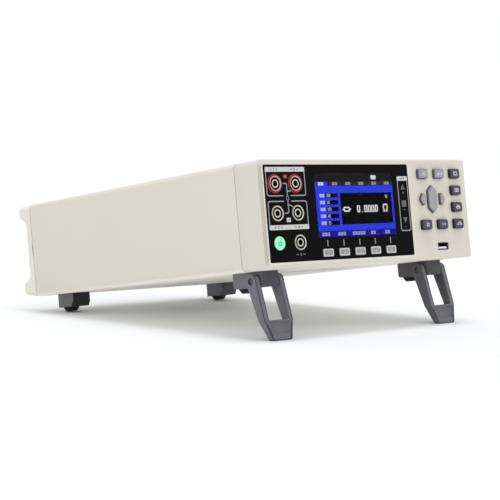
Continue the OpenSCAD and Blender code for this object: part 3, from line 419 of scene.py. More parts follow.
def figures(text, x, z, height, weight, front, back, pitch=0.66):
    """Plain numbers from strokes: paths in a cell one high and 0.5 wide, scaled and set side by side."""
    parts = []
    for place_in_row, sign in enumerate(text):
        for path in STROKES[sign]:
            drawn = np.asarray(path, float) * height + (x + place_in_row * pitch * height, z)
            parts.append(line(drawn, weight * height, front, back))
    return parts


def bent(corners, radius=0.14, steps=4):
    """Open path with its inner corners eased off."""
    return eased(corners, radius, steps, closed=False)


ZERO = eased([(0.04, 0.05), (0.48, 0.05), (0.48, 0.95), (0.04, 0.95)], 0.19, 4)
STROKES = {
    "0": [np.vstack((ZERO, ZERO[:2]))],
    "1": [[(0.1, 0.75), (0.27, 0.95), (0.27, 0.0)]],
    "2": [bent([(0.05, 0.75), (0.05, 0.95), (0.45, 0.95), (0.45, 0.6), (0.05, 0.05), (0.48, 0.05)])],
    "3": [bent([(0.04, 0.95), (0.45, 0.95), (0.45, 0.52), (0.2, 0.52)]),
        bent([(0.2, 0.52), (0.45, 0.52), (0.45, 0.05), (0.04, 0.05), (0.04, 0.2)])],
    "4": [[(0.38, 0.0), (0.38, 0.95), (0.03, 0.3), (0.5, 0.3)]],
    "5": [bent([(0.45, 0.95), (0.08, 0.95), (0.06, 0.55), (0.45, 0.6), (0.45, 0.05), (0.04, 0.05)])],
    ".": [[(0.22, 0.0), (0.22, 0.14)]],
}

softened("lcd_module", 0.3, pressed_tin("tray_tin"))

cell_black, tree, shader = new_finish("cell_black", 0.12, gloss=0.2)
filled(shader, {"Base Color": between(clouds(tree, 30), tint(9, 9, 14), tint(14, 14, 22))})
painted("lcd_screen", cell_black)

LAYER_STEP, FIELD_T, NOTCH_H = 0.02, 0.015, 0.35
SIGN_FRONT, SIGN_BACK = PICTURE_Y - 0.08, PICTURE_Y - 0.065
DARK_FIELD = tint(23, 23, 24)
FIELD_BLUE = tint(44, 60, 220)
STRIP_BLUE = tint(22, 24, 140)
FIELD_BLACK = tint(1, 1, 3)
TAB_GREY = tint(44, 44, 46)
TAB_LABEL = tint(150, 150, 150)
SOFT_WHITE = tint(214, 218, 236)
BRIGHT_WHITE = tint(246, 246, 250)
NUMBER_WHITE = tint(186, 190, 206)
LABEL_WHITE = tint(176, 184, 240)
STRIP_LABEL = tint(150, 150, 214)

fields, field_colours = [], []


def lit(parts, colour):
    """Adds fields of one colour to the picture."""
    fields.extend(parts)
    field_colours.extend([colour] * len(parts))


def lit_line(path, width, colour=BRIGHT_WHITE, closed=False):
    """Stroke of a sign in front of the fields."""
    lit([line(path, width, SIGN_FRONT, SIGN_BACK, closed)], colour)


def lit_sheet(outline, colour, layer):
    """Field on one of the picture's layers, each a little in front of the last."""
    front = PICTURE_Y - LAYER_STEP * layer
    lit([sheet(outline, front, front + FIELD_T)], colour)


def blank_marks(x, z, count, width, height, colour, layer):
    """Row of small notched blocks in the place of words."""
    for mark in range(count):
        left, right = x + mark * width * 1.2, x + mark * width * 1.2 + width
        notch = z + height * (0.3 if mark % 2 else 0.55)
        inner = left + width * (0.27 if mark % 2 else 0.6)
        lit_sheet([(left, z), (right, z), (right, z + height), (left, z + height), (left, notch + NOTCH_H),
            (inner, notch + NOTCH_H), (inner, notch), (left, notch)], colour, layer)


BLUE_LEFT, BLUE_TOP = SCREEN_LEFT + 0.9, 67.4
TAB_X, TAB_W, TAB_PITCH = 79.2, 14.4, 15.8
VALUE_X0, VALUE_X1, VALUE_Z, VALUE_H, VALUE_PITCH = 74.0, 88.4, 57.5, 3.6, 5.82
READING_Z, READING_H = 44.4, 5.8
RESISTOR_X0, RESISTOR_X1, RESISTOR_Z, TAIL_L, THICK = 95.0, 100.6, 47.2, 2.3, 0.9

lit_sheet(oblong(SCREEN_LEFT, SCREEN_LOW, SCREEN_RIGHT, SCREEN_TOP), DARK_FIELD, 0)
lit_sheet(oblong(BLUE_LEFT, SCREEN_LOW, SCREEN_RIGHT, BLUE_TOP), FIELD_BLUE, 1)
lit_sheet(oblong(BLUE_LEFT, BLUE_TOP, 77.6, 71.0), FIELD_BLUE, 1)
blank_marks(66.6, 67.9, 2, 2.7, 2.7, SOFT_WHITE, 2)
for tab in range(5):
    left = TAB_X + TAB_PITCH * tab
    lit_sheet(oblong(left, 67.6, left + TAB_W, 70.9), TAB_GREY, 1)
    blank_marks(left + 3.8, 68.0, 2, 2.6, 2.5, TAB_LABEL, 2)
lit_sheet(oblong(BLUE_LEFT, SCREEN_LOW, SCREEN_RIGHT, 29.2), STRIP_BLUE, 2)
for left, marks in ((66.6, 3), (85.4, 3), (102.6, 5), (124.7, 2), (142.4, 2)):
    blank_marks(left, 25.1, marks, 2.6, 2.9, STRIP_LABEL, 3)
for row, value in enumerate(("300", "20", "105", "40", "25")):
    low = VALUE_Z - VALUE_PITCH * row
    lit_sheet(oblong(VALUE_X0, low, VALUE_X1, low + VALUE_H), FIELD_BLACK, 2)
    blank_marks(67.0, low + 0.4, 2, 2.6, 2.8, LABEL_WHITE, 2)
    lit(figures(value, VALUE_X0 + 1.2, low + 0.6, 2.4, 0.17, SIGN_FRONT, SIGN_BACK), NUMBER_WHITE)
lit_sheet(oblong(91.2, 34.3, 153.7, 61.1), FIELD_BLACK, 2)
lit(figures("0.0000", 110.6, READING_Z, READING_H, 0.16, SIGN_FRONT, SIGN_BACK, pitch=0.75), BRIGHT_WHITE)
OHM_PATH = np.array([(0.02, 0.06), (0.34, 0.06), (0.08, 0.45), (0.1, 0.98), (0.82, 0.98), (0.84, 0.45),
    (0.58, 0.06), (0.9, 0.06)]) * 6.3 + (142.2, READING_Z)
lit_line(bent(OHM_PATH, 0.9), 0.95)
lit_line(oblong(RESISTOR_X0, RESISTOR_Z - 1.6, RESISTOR_X1, RESISTOR_Z + 1.6), THICK, closed=True)
for start, end in ((RESISTOR_X0 - TAIL_L, RESISTOR_X0), (RESISTOR_X1, RESISTOR_X1 + TAIL_L)):
    lit_line([(start, RESISTOR_Z), (end, RESISTOR_Z)], THICK)
lit_line(disc(147.4, 57.6, 1.9, 16), 0.5, SOFT_WHITE, closed=True)


def mesh_tone(tree):
    """Colour that the mesh itself carries."""
    return added(tree, "VertexColor", {}, layer_name="tone")


picture_glow, tree, shader = new_finish("picture_glow", 1.0, gloss=0.0)
dots = between(clouds(tree, 0.35, 1.0), (0.93, 0.93, 0.93, 1), (1, 1, 1, 1))
filled(shader, {"Base Color": (0.0, 0.0, 0.0, 1.0), "Emission Strength": 1.0,
    "Emission Color": mixed(1.0, mesh_tone(tree), dots, "MULTIPLY")})
piece_from("display_picture", fields, picture_glow, colours=field_colours)

window_clear, tree, shader = new_finish("window_clear", 0.02, gloss=0.2)
filled(shader, {"Transmission Weight": 1.0, "IOR": 1.1,
    "Base Color": between(clouds(tree, 45), (0.985, 0.99, 1, 1), (1, 1, 1, 1))})
painted("display_window", window_clear)

# Black front panel
# Polycarbonate film on a stiff sheet, 0.8 mm thick, stuck into the bezel's recess. Frames, lines and
# signs are printed on its face in light grey, white and dull red.

PANEL_Y = 0.4
INK_FRONT, INK_BACK = PANEL_Y - 0.03, PANEL_Y
PATCH_FRONT, UPPER_INK = INK_FRONT - 0.02, INK_FRONT - 0.05
INK_GREY = (156, 158, 160)
INK_LIGHT = (206, 206, 204)
INK_MID = (104, 104, 104)
INK_RED = (136, 50, 49)
INK_PALE_RED = (214, 150, 146)
INK_DARK = (44, 44, 46)

panel_black, tree, shader = new_finish("panel_black", 0.4, gloss=0.04)
filled(shader, {"Base Color": between(clouds(tree, 40), tint(9, 9, 10), tint(12, 12, 14)),
    "Roughness": spread(clouds(tree, 25), 0.34, 0.46)})
grained(shader, clouds(tree, 0.4, 1.0), 0.006)
painted("front_overlay", panel_black)


def ink(name, colour, mottle=0.03, patch=3, **finish):
    """Thin ink or paint that hardly shows a grain."""
    return moulded(name, colour, roughness=0.5, mottle=mottle, patch=patch, depth=0.004, **finish)


def printed(name, colour, parts):
    """One colour of the print: flat closed ink on the panel's face."""
    piece_from(name, parts, ink(name, colour, patch=8, gloss=0.2, grain=0.3))


def ink_line(path, width, closed=False, front=INK_FRONT):
    """Printed line of even width."""
    return line(path, width, front, INK_BACK, closed)


def ink_patches(outlines):
    """Printed patches, a little thicker than the lines that they cross."""
    return [sheet(outline, PATCH_FRONT, INK_BACK) for outline in outlines]


def dashes(x, z, start, end, front):
    """Short line on either side of a number."""
    return [ink_line([(x + side * start, z), (x + side * end, z)], 0.45, front=front) for side in (-1, 1)]


FRAME_X0, FRAME_X1 = 7.9, 50.9
GAP_X0, GAP_X1 = 25.5, 33.8
UPPER_LOW, UPPER_TOP = 59.8, 83.6
LOWER_LOW, LOWER_TOP = 31.7, 55.2
HEADER_H = 4.0
LINE_W, TICK_W = 0.95, 1.0
BRANCH_X, BRANCH_HIGH, BRANCH_LOW = 30.0, 63.4, 51.8
TICK_X, TICK_PITCH, TICK_LOW, TICK_TOP = 71.3, 19.0, 16.5, 21.6
COMPARE_X, COMPARE_X0, COMPARE_X1 = 168.4, 162.4, 174.5

bends = [([(gap, level), (side, level), (side, end)], 2.2)
    for level, end in ((UPPER_LOW, UPPER_TOP - 1), (LOWER_TOP, LOWER_LOW + 1))
    for gap, side in ((GAP_X0, FRAME_X0), (GAP_X1, FRAME_X1))]
bends += [([(26.0, 69.9), (BRANCH_X, 69.9), (BRANCH_X, 59.6)], 1.6),
    ([(BRANCH_X, BRANCH_HIGH), (33.4, BRANCH_HIGH), (35.4, 65.2)], 1.0),
    ([(BRANCH_X, 55.9), (BRANCH_X, 45.4), (25.4, 45.4)], 1.9),
    ([(BRANCH_X, BRANCH_LOW), (32.8, BRANCH_LOW), (35.6, 49.9)], 1.2),
    ([(COMPARE_X0, 72.0), (COMPARE_X0, 26.9), (COMPARE_X1, 26.9), (COMPARE_X1, 72.0)], 2.0)]
ticks = [[(TICK_X + TICK_PITCH * i, z) for z in (TICK_LOW, TICK_TOP)] for i in range(5)]
grey_lines = [ink_line(bent(corners, radius, 5), LINE_W) for corners, radius in bends]
grey_lines += [ink_line(oblong(BRANCH_X - 1.1, 56.3, BRANCH_X + 1.1, 59.2, 0.3), 0.5, closed=True)]
printed("panel_print_grey", INK_GREY, grey_lines + [ink_line(tick, TICK_W) for tick in ticks]
    + [sheet(disc(BRANCH_X, z, 1.5, 12), INK_FRONT - 0.01, INK_BACK) for z in (BRANCH_HIGH, BRANCH_LOW)]
    + figures("5", 39.1, 9.8, 2.3, 0.16, INK_FRONT, INK_BACK) + dashes(39.7, 10.9, 2.4, 5.0, INK_FRONT))

printed("panel_print_light", INK_LIGHT, ink_patches((
    oblong(FRAME_X0 - 0.5, UPPER_TOP - HEADER_H, FRAME_X1 + 0.5, UPPER_TOP, 0.9),
    oblong(FRAME_X0 - 0.5, LOWER_LOW, FRAME_X1 + 0.5, LOWER_LOW + HEADER_H, 0.9),
    oblong(COMPARE_X0 - 0.5, 71.0, COMPARE_X1 + 0.5, 74.9, 1.2), oblong(26.9, 37.9, 31.5, 41.5, 0.4))))

printed("panel_print_mid", INK_MID, ink_patches((
    [(COMPARE_X, 68.2), (165.8, 63.2), (171.0, 63.2)],
    [(COMPARE_X, 33.3), (171.2, 38.5), (165.7, 38.5)], oblong(165.5, 47.9, 171.2, 53.5)))
    + [ink_line(disc(COMPARE_X, 60.4, 1.5), 0.5, closed=True)]
    + [ink_line([(COMPARE_X - 1, z), (COMPARE_X + 1, z)], 0.7) for z in (45.4, 30.2)])

printed("panel_print_red", INK_RED, [ink_line(disc(x, 69.8, 14.4, 48), 1.6, closed=True)
    for x in (17.0, 39.7)] + ink_patches([oblong(26.9, 74.0, 31.4, 77.4, 0.4)]))
printed("panel_print_signs", INK_PALE_RED, [
    ink_line([(29.15, 74.6), (29.15, 76.8)], 0.45, front=INK_FRONT - 0.04),
    ink_line([(28.05, 75.7), (30.25, 75.7)], 0.45, front=UPPER_INK)])
dark_parts = [ink_line([(28.1, 39.7), (30.3, 39.7)], 0.55, front=UPPER_INK)]
dark_parts += [sheet(disc(COMPARE_X + 2.2 * k, 72.9, 1.3, 12), UPPER_INK, INK_BACK) for k in (-1, 0, 1)]
for number, x, z in (("1", 17.0, 80.4), ("2", 39.7, 80.4), ("3", 17.3, 32.6), ("4", 40.0, 32.6)):
    dark_parts += figures(number, x - 0.6, z, 2.2, 0.18, UPPER_INK, INK_BACK)
    dark_parts += dashes(x, z + 1.1, 2.2, 4.6, UPPER_INK)
printed("panel_print_dark", INK_DARK, dark_parts)

# The sign of the memory stick stands in the black strip above the picture.
stick = sheet(oblong(130.2, 72.6, 136.2, 76.2, 0.3), PICTURE_Y - 0.05, PICTURE_Y - 0.03)
piece_from("stick_sign", [stick], ink("stick_sign_paint", (236, 238, 240), 0.02, 5))

# Test sockets
# Five sockets for shrouded 4 mm plugs. An insulating barrel with a rounded lip is pushed through the
# panel and held by a nut; a plated contact tube sits in it, and its lead goes down to the main board.

SOCKET_PLACES = {"socket_drive_high": (17.0, 69.8), "socket_sense_high": (39.7, 69.8),
    "socket_drive_low": (17.0, 45.3), "socket_sense_low": (39.7, 45.3), "socket_guard": (39.7, 20.8)}
RING_R, BARREL_R, SHROUD_R, CONTACT_R = 6.5, 5.95, 5.35, 3.65
RING_FRONT, SHROUD_END, BARREL_END = -0.8, 18.0, 22.0
TURN_STEPS = 64


def turned(profile, x, z):
    """Closed profile of radius and depth carried once round the axis through (x, z)."""
    radius, depth = np.asarray(profile, float).T
    turn = np.linspace(0, 2 * math.pi, TURN_STEPS, endpoint=False)[:, None]
    depths = np.broadcast_to(depth, (TURN_STEPS, len(depth)))
    points = np.stack((x + np.cos(turn) * radius, depths, z + np.sin(turn) * radius), -1)
    return points.reshape(-1, 3), skin(TURN_STEPS, len(depth), closed=True)


LIP_TURN = np.linspace(0, math.pi, 9)
LIP_MID, LIP_HALF, LIP_ROUND = (RING_R + SHROUD_R) / 2, (RING_R - SHROUD_R) / 2, 0.5
BARREL_PROFILE = np.vstack((
    np.column_stack((LIP_MID + LIP_HALF * np.cos(LIP_TURN), RING_FRONT + LIP_ROUND * (1 - np.sin(LIP_TURN)))),
    [(SHROUD_R, 0.1), (SHROUD_R, SHROUD_END), (CONTACT_R, SHROUD_END), (CONTACT_R, BARREL_END),
    (BARREL_R, BARREL_END), (BARREL_R, PANEL_Y), (RING_R, PANEL_Y)]))


def toned(name, roughness, patch, gloss=0.35, depth=0.01):
    """Finish whose colour is the mesh's own tone, which carries painted light and shade, with a faint drift
    and a fine grain.
    """
    material, tree, shader = new_finish(name, roughness, gloss=gloss)
    faint = between(clouds(tree, patch), (0.94, 0.94, 0.94, 1), (1, 1, 1, 1))
    filled(shader, {"Base Color": mixed(1.0, mesh_tone(tree), faint, "MULTIPLY")})
    grained(shader, clouds(tree, 0.4, 1.0), depth)
    return material


def stands_for(node, name, parts, paint, smooth, colours):
    """New piece in the place of a CAD node, on its body; the node is hidden."""
    piece = piece_from(name, parts, paint, nodes[node]["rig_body"], smooth, colours)
    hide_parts(node)


# Painted light: each barrel's colour runs from the outer tone to a lighter inner one over the lip's half
# circle as a painted highlight, and behind the lip the groove is painted near black as shade.
RED_WITH_PAINTED_LIGHT = (186, 76, 73), (236, 200, 194), (12, 6, 6)
IVORY_WITH_PAINTED_LIGHT = (158, 156, 149), (226, 224, 217), (8, 8, 8)
barrel_gloss = toned("barrel_gloss", 0.3, 3, gloss=0.4)
run = np.clip((RING_R - BARREL_PROFILE[:, 0]) / (RING_R - SHROUD_R), 0, 1)[:, None]
for node, (x, z) in SOCKET_PLACES.items():
    outer, inner, lip_groove_shade = RED_WITH_PAINTED_LIGHT if node.endswith("high") else IVORY_WITH_PAINTED_LIGHT
    tones = np.array(tint(*outer)) * (1 - run) + np.array(tint(*inner)) * run
    tones[BARREL_PROFILE[:, 1] > 0.05] = tint(*lip_groove_shade)
    stands_for(node, node + "_turned", [turned(BARREL_PROFILE, x, z)], barrel_gloss, 40,
        np.tile(tones, (TURN_STEPS, 1)))

MOUTH_R, BORE_R, TAIL_R, HOLE_R = 2.5, 2.02, 1.5, 0.5
TUBE_FRONT, BORE_END, TUBE_END, TAIL_END = -0.2, 19.8, 22.0, 30.0
TUBE_PROFILE = [(CONTACT_R - 0.2, TUBE_FRONT), (CONTACT_R, 0.05), (CONTACT_R, TUBE_END),
    (TAIL_R, TUBE_END), (TAIL_R, TAIL_END), (HOLE_R, TAIL_END), (HOLE_R, BORE_END), (BORE_R, BORE_END),
    (BORE_R, 0.6), (MOUTH_R - 0.04, TUBE_FRONT + 0.04), (MOUTH_R, TUBE_FRONT)]
# Painted shade: the tube's outer wall down the shroud, its bore and the mouth of the bore are painted near
# black and dark brown, as the shade inside them.
TIN_BRIGHT, TUBE_SHADE, TAIL_BRASS = tint(214, 210, 200), tint(12, 11, 10), tint(190, 172, 120)
BORE_SHADE, MOUTH_SHADED_BRASS = tint(20, 16, 14), tint(48, 38, 33)
TUBE_TONES = np.array([TIN_BRIGHT] + [TUBE_SHADE] * 2 + [TAIL_BRASS] * 3 + [BORE_SHADE] * 3
    + [MOUTH_SHADED_BRASS, TIN_BRIGHT])
stands_for("socket_contacts", "contact_tubes",
    [turned(TUBE_PROFILE, x, z) for x, z in SOCKET_PLACES.values()], toned("contact_tube", 0.35, 3), 40,
    np.tile(TUBE_TONES, (TURN_STEPS * len(SOCKET_PLACES), 1)))


def plated(name, colour, roughness):
    """Bare or plated metal with a thin uneven haze."""
    material, tree, shader = new_finish(name, roughness, metallic=1.0)
    haze = clouds(tree, 4)
    filled(shader, {"Base Color": between(haze, tint(*colour, 0.88), tint(*colour, 1.05)),
        "Roughness": spread(haze, roughness - 0.06, roughness + 0.1)})
    grained(shader, clouds(tree, 0.3, 1.0), 0.004)
    return material


nut_plating = plated("nut_plating", (200, 196, 186), 0.35)
softened("socket_nuts", 0.25, nut_plating)
softened("socket_leads", 0.1, moulded("lead_insulation", (150, 40, 38), grain=0.4, depth=0.01))

# Function keys and power button
# Five silver keys under the picture, each with a rolled rim round a duller sunk face; the rim carries a
# painted highlight and the darkening down the sides is painted shade. The round power button is a
# frosted cap lit green from behind. All press on switches behind the face.

FKEY_X, FKEY_PITCH, FKEY_Z = 70.6, 19.0, 11.0
FKEY_W, FKEY_H, FKEY_R, FKEY_FRONT, FKEY_SUNK = 12.3, 6.8, 1.4, -0.6, -0.3
FLANGE_Y, FLANGE_T, STEM_D, STEM_END = 3.3, 1.2, 4.0, 7.9
KEY_ROUND = 7


def key_body(x, z, sections):
    """Key carried through sections along its depth: each is a rounded rectangle (width, height, corner,
    depth), whose outline is a quarter circle round every corner's middle."""
    rings = []
    for w, h, r, y in sections:
        quarters = []
        for k, (sx, sz) in enumerate(((1, 1), (-1, 1), (-1, -1), (1, -1))):
            turn = np.linspace(0, math.pi / 2, KEY_ROUND) + k * math.pi / 2
            quarters.append((sx * (w / 2 - r) + r * np.cos(turn), sz * (h / 2 - r) + r * np.sin(turn)))
        across, up = np.hstack(quarters)
        rings.append(np.column_stack((x + across, np.full(len(across), y), z + up)))
    return np.vstack(rings), skin(len(rings), len(across))


def rolled_nose(w, h, r, front, roll):
    """Sections from the edge of the flat front round the rolled edge to the side: sin of the turn widens
    the outline, 1 - cos of it goes back."""
    sections = []
    for turn in np.linspace(0, math.pi / 2, 5):
        short = roll * (1 - math.sin(turn))
        sections.append((w - 2 * short, h - 2 * short, r - 0.8 * short, front + roll * (1 - math.cos(turn))))
    return sections


def behind_face(w, h, r):
    """Sections of the flange behind the bezel's face and of the stem that meets the switch."""
    stem = (STEM_D, STEM_D, STEM_D / 2 - 0.01)
    return [(w, h, r, FLANGE_Y), (w + 2, h + 2, r, FLANGE_Y), (w + 2, h + 2, r, FLANGE_Y + FLANGE_T),
        (*stem, FLANGE_Y + FLANGE_T), (*stem, STEM_END)]


def section_shading(sections, shades, around=4 * KEY_ROUND):
    """Painted light and shade of each point of a cap, from a shade per section; the last shade goes on to the
    end.
    """
    shades = shades + [shades[-1]] * (len(sections) - len(shades))
    return np.repeat([tint(*shade) for shade in shades], around, axis=0)


silver_key = toned("silver_key", 0.3, 6, gloss=0.5)
key_sign_pale = ink("key_sign_pale", (214, 214, 216), patch=4)
FKEY_SECTIONS = [(8.5, 3.5, 0.7, FKEY_SUNK), (8.9, 3.8, 0.8, FKEY_SUNK - 0.02),
    (9.2, 4.1, 0.9, FKEY_FRONT + 0.03), (9.5, 4.4, 1.0, FKEY_FRONT)]
FKEY_SECTIONS += rolled_nose(FKEY_W, FKEY_H, FKEY_R, FKEY_FRONT, 0.55) + behind_face(FKEY_W, FKEY_H, FKEY_R)
# Painted light and shade of the function keys, one per section: the sunk face, a painted highlight on the
# rim, then shade down the sides.
FKEY_SHADING = [(150, 150, 152)] * 2 + [(182, 182, 182)] + [(202, 202, 201)] * 2
FKEY_SHADING += [(190, 190, 189), (148, 148, 149), (108, 108, 110), (80, 80, 82)]
for i in range(5):
    x, node = FKEY_X + i * FKEY_PITCH, f"function_key_{i + 1}"
    stands_for(node, node + "_cap", [key_body(x, FKEY_Z, FKEY_SECTIONS)], silver_key, 50,
        section_shading(FKEY_SECTIONS, FKEY_SHADING))
    number = figures(str(i + 1), x - 0.4, FKEY_Z - 1.35, 2.5, 0.15, FKEY_SUNK - 0.05, FKEY_SUNK)
    piece_from(node + "_number", number, key_sign_pale, node)

POWER_X, POWER_Z, POWER_FRONT = 17.0, 20.8, PANEL_Y - 0.8
power_glow, tree, shader = new_finish("power_glow", 0.35, gloss=0.3)
green = between(clouds(tree, 5), tint(132, 238, 186), tint(160, 252, 208))
filled(shader, {"Base Color": green, "Emission Color": green, "Emission Strength": 0.25})
softened("power_button", 0.7, power_glow, steps=3)
arc = np.radians(np.linspace(128, 412, 25))
ring_sign = np.column_stack((POWER_X + 1.7 * np.cos(arc), POWER_Z - 0.2 + 1.7 * np.sin(arc)))
piece_from("power_sign", [line(ring_sign, 0.75, POWER_FRONT - 0.02, POWER_FRONT),
    line([(POWER_X, POWER_Z - 0.2), (POWER_X, POWER_Z + 2.1)], 0.75, POWER_FRONT - 0.03, POWER_FRONT)],
    ink("power_ink", (58, 130, 96)), "power_button")

# Keypad
# Eight moulded caps, two light grey and six charcoal, in wells of the bezel. Each has a rounded nose
# and one plain white sign in its middle.

KEY_X, KEY_Z, KEY_PITCH_X, KEY_PITCH_Z = 193.5, 31.1, 21.2, 15.2
KEY_W, KEY_H, KEY_R, KEY_FRONT = 12.6, 8.4, 1.6, -3.0
SIGN_STRETCH, SIGN_W, SIGN_DEPTH = (1.75, 1.05), 0.66, 0.12
KEY_SECTIONS = [(7.0, 3.0, 0.8, KEY_FRONT + SIGN_DEPTH), (8.6, 4.6, 1.0, KEY_FRONT + 0.06)]
KEY_SECTIONS += rolled_nose(KEY_W, KEY_H, KEY_R, KEY_FRONT, 1.1) + behind_face(KEY_W, KEY_H, KEY_R)
# Painted light and shade of each cap, one tone per section: the face, then shade darkening round the nose and
# down the sides.
LIGHT_KEY_SHADING = [(160, 160, 162)] * 3 + [(150, 150, 152), (128, 128, 130), (104, 104, 106), (90, 90, 92)]
DARK_KEY_SHADING = [(78, 77, 80)] * 3 + [(70, 69, 72), (54, 54, 56), (42, 42, 44), (36, 36, 38)]
key_plastic = toned("key_plastic", 0.5, 12, gloss=0.3, depth=0.015)
cap_ink = ink("cap_ink", (226, 226, 228), 0.02)

# Column and row of each key, then the paths of its sign.
KEYS = {
    "escape_key": (0, 3, [(-1, -1), (1, 1)], [(-1, 1), (1, -1)]),
    "enter_key": (1, 3, [(1.6, 1.2), (1.6, -0.4), (-1.6, -0.4)], [(-0.6, 0.5), (-1.6, -0.4), (-0.6, -1.3)]),
    "page_key": (2, 3, [(-1.1, -1.3), (-1.1, 1.3), (0.4, 1.3), (1.1, 0.6), (1.1, -1.3), (-1.3, -1.3)]),
    "compare_key": (2, 2, [(-1.5, 1.2), (1.5, 1.2)], [(-1.5, 0), (1.5, 0)], [(-1.5, -1.2), (1.5, -1.2)]),
    "lock_key": (2, 1, [(-1.2, -1.3), (1.2, -1.3), (1.2, 0.1), (-1.2, 0.1), (-1.2, -1.5)],
        [(-0.7, 0.1), (-0.7, 1.2), (0.7, 1.2), (0.7, 0.1)]),
    "zero_key": (0, 0, [(-0.7, -1.2), (-0.7, 1.2), (0.7, 1.2), (0.7, -1.2), (-0.95, -1.2)]),
    "hold_key": (1, 0, [(-0.8, -1.2), (-0.8, 1.2)], [(0.8, -1.2), (0.8, 1.2)]),
    "trigger_key": (2, 0, [(-1.8, -0.8), (-0.5, -0.8), (-0.5, 1.0), (0.7, 1.0), (0.7, -0.8), (1.9, -0.8)]),
}
for node, (column, row, *paths) in KEYS.items():
    x, z = KEY_X + column * KEY_PITCH_X, KEY_Z + row * KEY_PITCH_Z
    shades = LIGHT_KEY_SHADING if node in ("escape_key", "enter_key") else DARK_KEY_SHADING
    stands_for(node, node + "_cap", [key_body(x, z, KEY_SECTIONS)], key_plastic, 50,
        section_shading(KEY_SECTIONS, shades))
    strokes = [line(np.array(path) * SIGN_STRETCH + (x + 0.2, z), SIGN_W, KEY_FRONT - 0.01 - 0.01 * k,
        KEY_FRONT + SIGN_DEPTH) for k, path in enumerate(paths)]
    piece_from(node + "_sign", strokes, cap_ink, node)

# Arrow keys and rocker
# Left and right caps with a pointed outline, and between them the up and down rocker, whose face falls
# towards a crease in its middle and which tips about a steel pin. All are light grey plastic.

PAD_X, PAD_Z, ARROW_FRONT, ARROW_MID = 204.1, 53.9, -2.6, 12.6
ARROW_OUTLINE = np.array([(-16.3, 0), (-12.8, 5.3), (-9.8, 4.6), (-9.8, -4.6), (-12.8, -5.3)])
ROCKER_OUTLINE = np.array([(0, 12.4), (5.6, 7.7), (5.6, -7.7), (0, -12.4), (-5.6, -7.7), (-5.6, 7.7)])
ROCKER_REACH, ROCKER_SINK, ROCKER_BODY_END = 12.4, 0.5, 3.5
PLATE_HALF, PLATE_GAP, PLATE_FRONT, PLATE_END = 5.0, 1.05, 3.0, 6.2
FOOT_Z, FOOT_D, FOOT_FRONT, FOOT_END = 7.5, 3.6, 6.0, 8.5
# Painted shade on the rocker's plates and feet behind the face.
FLANK_SHADE = (90, 90, 92)


def pressed_cap(front_outline, outline, middle, sections, sink=0.0):
    """Cap whose outline is scaled about its middle at each section (share, depth, part of the front's
    rounder outline and sink in it). The sink is 1 - |z - middle| / reach, so a rocker's face falls
    towards its crease."""
    rings = []
    for share, depth, takes in sections:
        away = takes * front_outline + (1 - takes) * outline - middle
        across, up = (np.asarray(middle) + share * away).T
        fall = sink * takes * (1 - np.abs(up - middle[1]) / ROCKER_REACH)
        rings.append(np.column_stack((across, depth + fall, up)))
    return np.vstack(rings), skin(len(rings), len(away))


CAP_SECTIONS = [(0.04, ARROW_FRONT + 0.14, 1), (0.4, ARROW_FRONT + 0.1, 1), (0.7, ARROW_FRONT + 0.02, 1),
    (0.8, ARROW_FRONT, 1), (0.89, ARROW_FRONT + 0.12, 1), (0.96, ARROW_FRONT + 0.45, 0.7),
    (1.0, ARROW_FRONT + 1.1, 0.2)]
ARROW_SECTIONS = CAP_SECTIONS + [(1.0, FLANGE_Y, 0), (1.14, FLANGE_Y, 0), (1.14, FLANGE_Y + FLANGE_T, 0),
    (0.4, FLANGE_Y + FLANGE_T, 0), (0.4, STEM_END, 0)]
# Painted light and shade of the arrow caps and the rocker, one tone per section: the face, then shade
# darkening round the edge and down the sides.
ARROW_SHADING = [(164, 164, 166)] * 4 + [(152, 152, 154), (124, 124, 126), (92, 92, 94)]
for node, mirrored in (("left_key", 1), ("right_key", -1)):
    corners = ARROW_OUTLINE * (mirrored, 1) + (PAD_X, PAD_Z)
    front_outline, outline = eased(corners, 1.9, 4), eased(corners, 0.2, 4)
    cap = pressed_cap(front_outline, outline, (PAD_X - ARROW_MID * mirrored, PAD_Z), ARROW_SECTIONS)
    stands_for(node, node + "_cap", [cap], key_plastic, 50,
        section_shading(ARROW_SECTIONS, ARROW_SHADING, len(outline)))

corners = ROCKER_OUTLINE + (PAD_X, PAD_Z)
front_outline, outline = eased(corners, 2.2, 5), eased(corners, 0.2, 5)
sections = CAP_SECTIONS[:2] + [(0.55, ARROW_FRONT + 0.06, 1)] + CAP_SECTIONS[2:] + [(1.0, ROCKER_BODY_END, 0)]
face = pressed_cap(front_outline, outline, (PAD_X, PAD_Z), sections, ROCKER_SINK)
halves = []
for side in (-1, 1):
    plate = [(PAD_X + x, PAD_Z + side * z) for x, z in ((-PLATE_HALF, PLATE_GAP), (PLATE_HALF, PLATE_GAP),
        (PLATE_HALF, FOOT_Z), (-PLATE_HALF, FOOT_Z))]
    halves += [sheet(plate, PLATE_FRONT, PLATE_END),
        sheet(disc(PAD_X, PAD_Z + side * FOOT_Z, FOOT_D), FOOT_FRONT, FOOT_END)]
hidden = sum(len(points) for points, faces in halves)
rocker_tones = np.vstack((section_shading(sections, ARROW_SHADING[:1] + ARROW_SHADING, len(outline)),
    np.tile(tint(*FLANK_SHADE), (hidden, 1))))
stands_for("up_down_rocker", "up_down_rocker_cap", [face] + halves, key_plastic, 50, rocker_tones)
painted("rocker_pin", plated("turned_steel", (176, 176, 174), 0.32))

# Boards behind the face
# Green glass-fibre board with the push switches of the keys, screwed to bosses of the bezel. Solder mask
# covers its copper tracks, and the screws are plated steel.

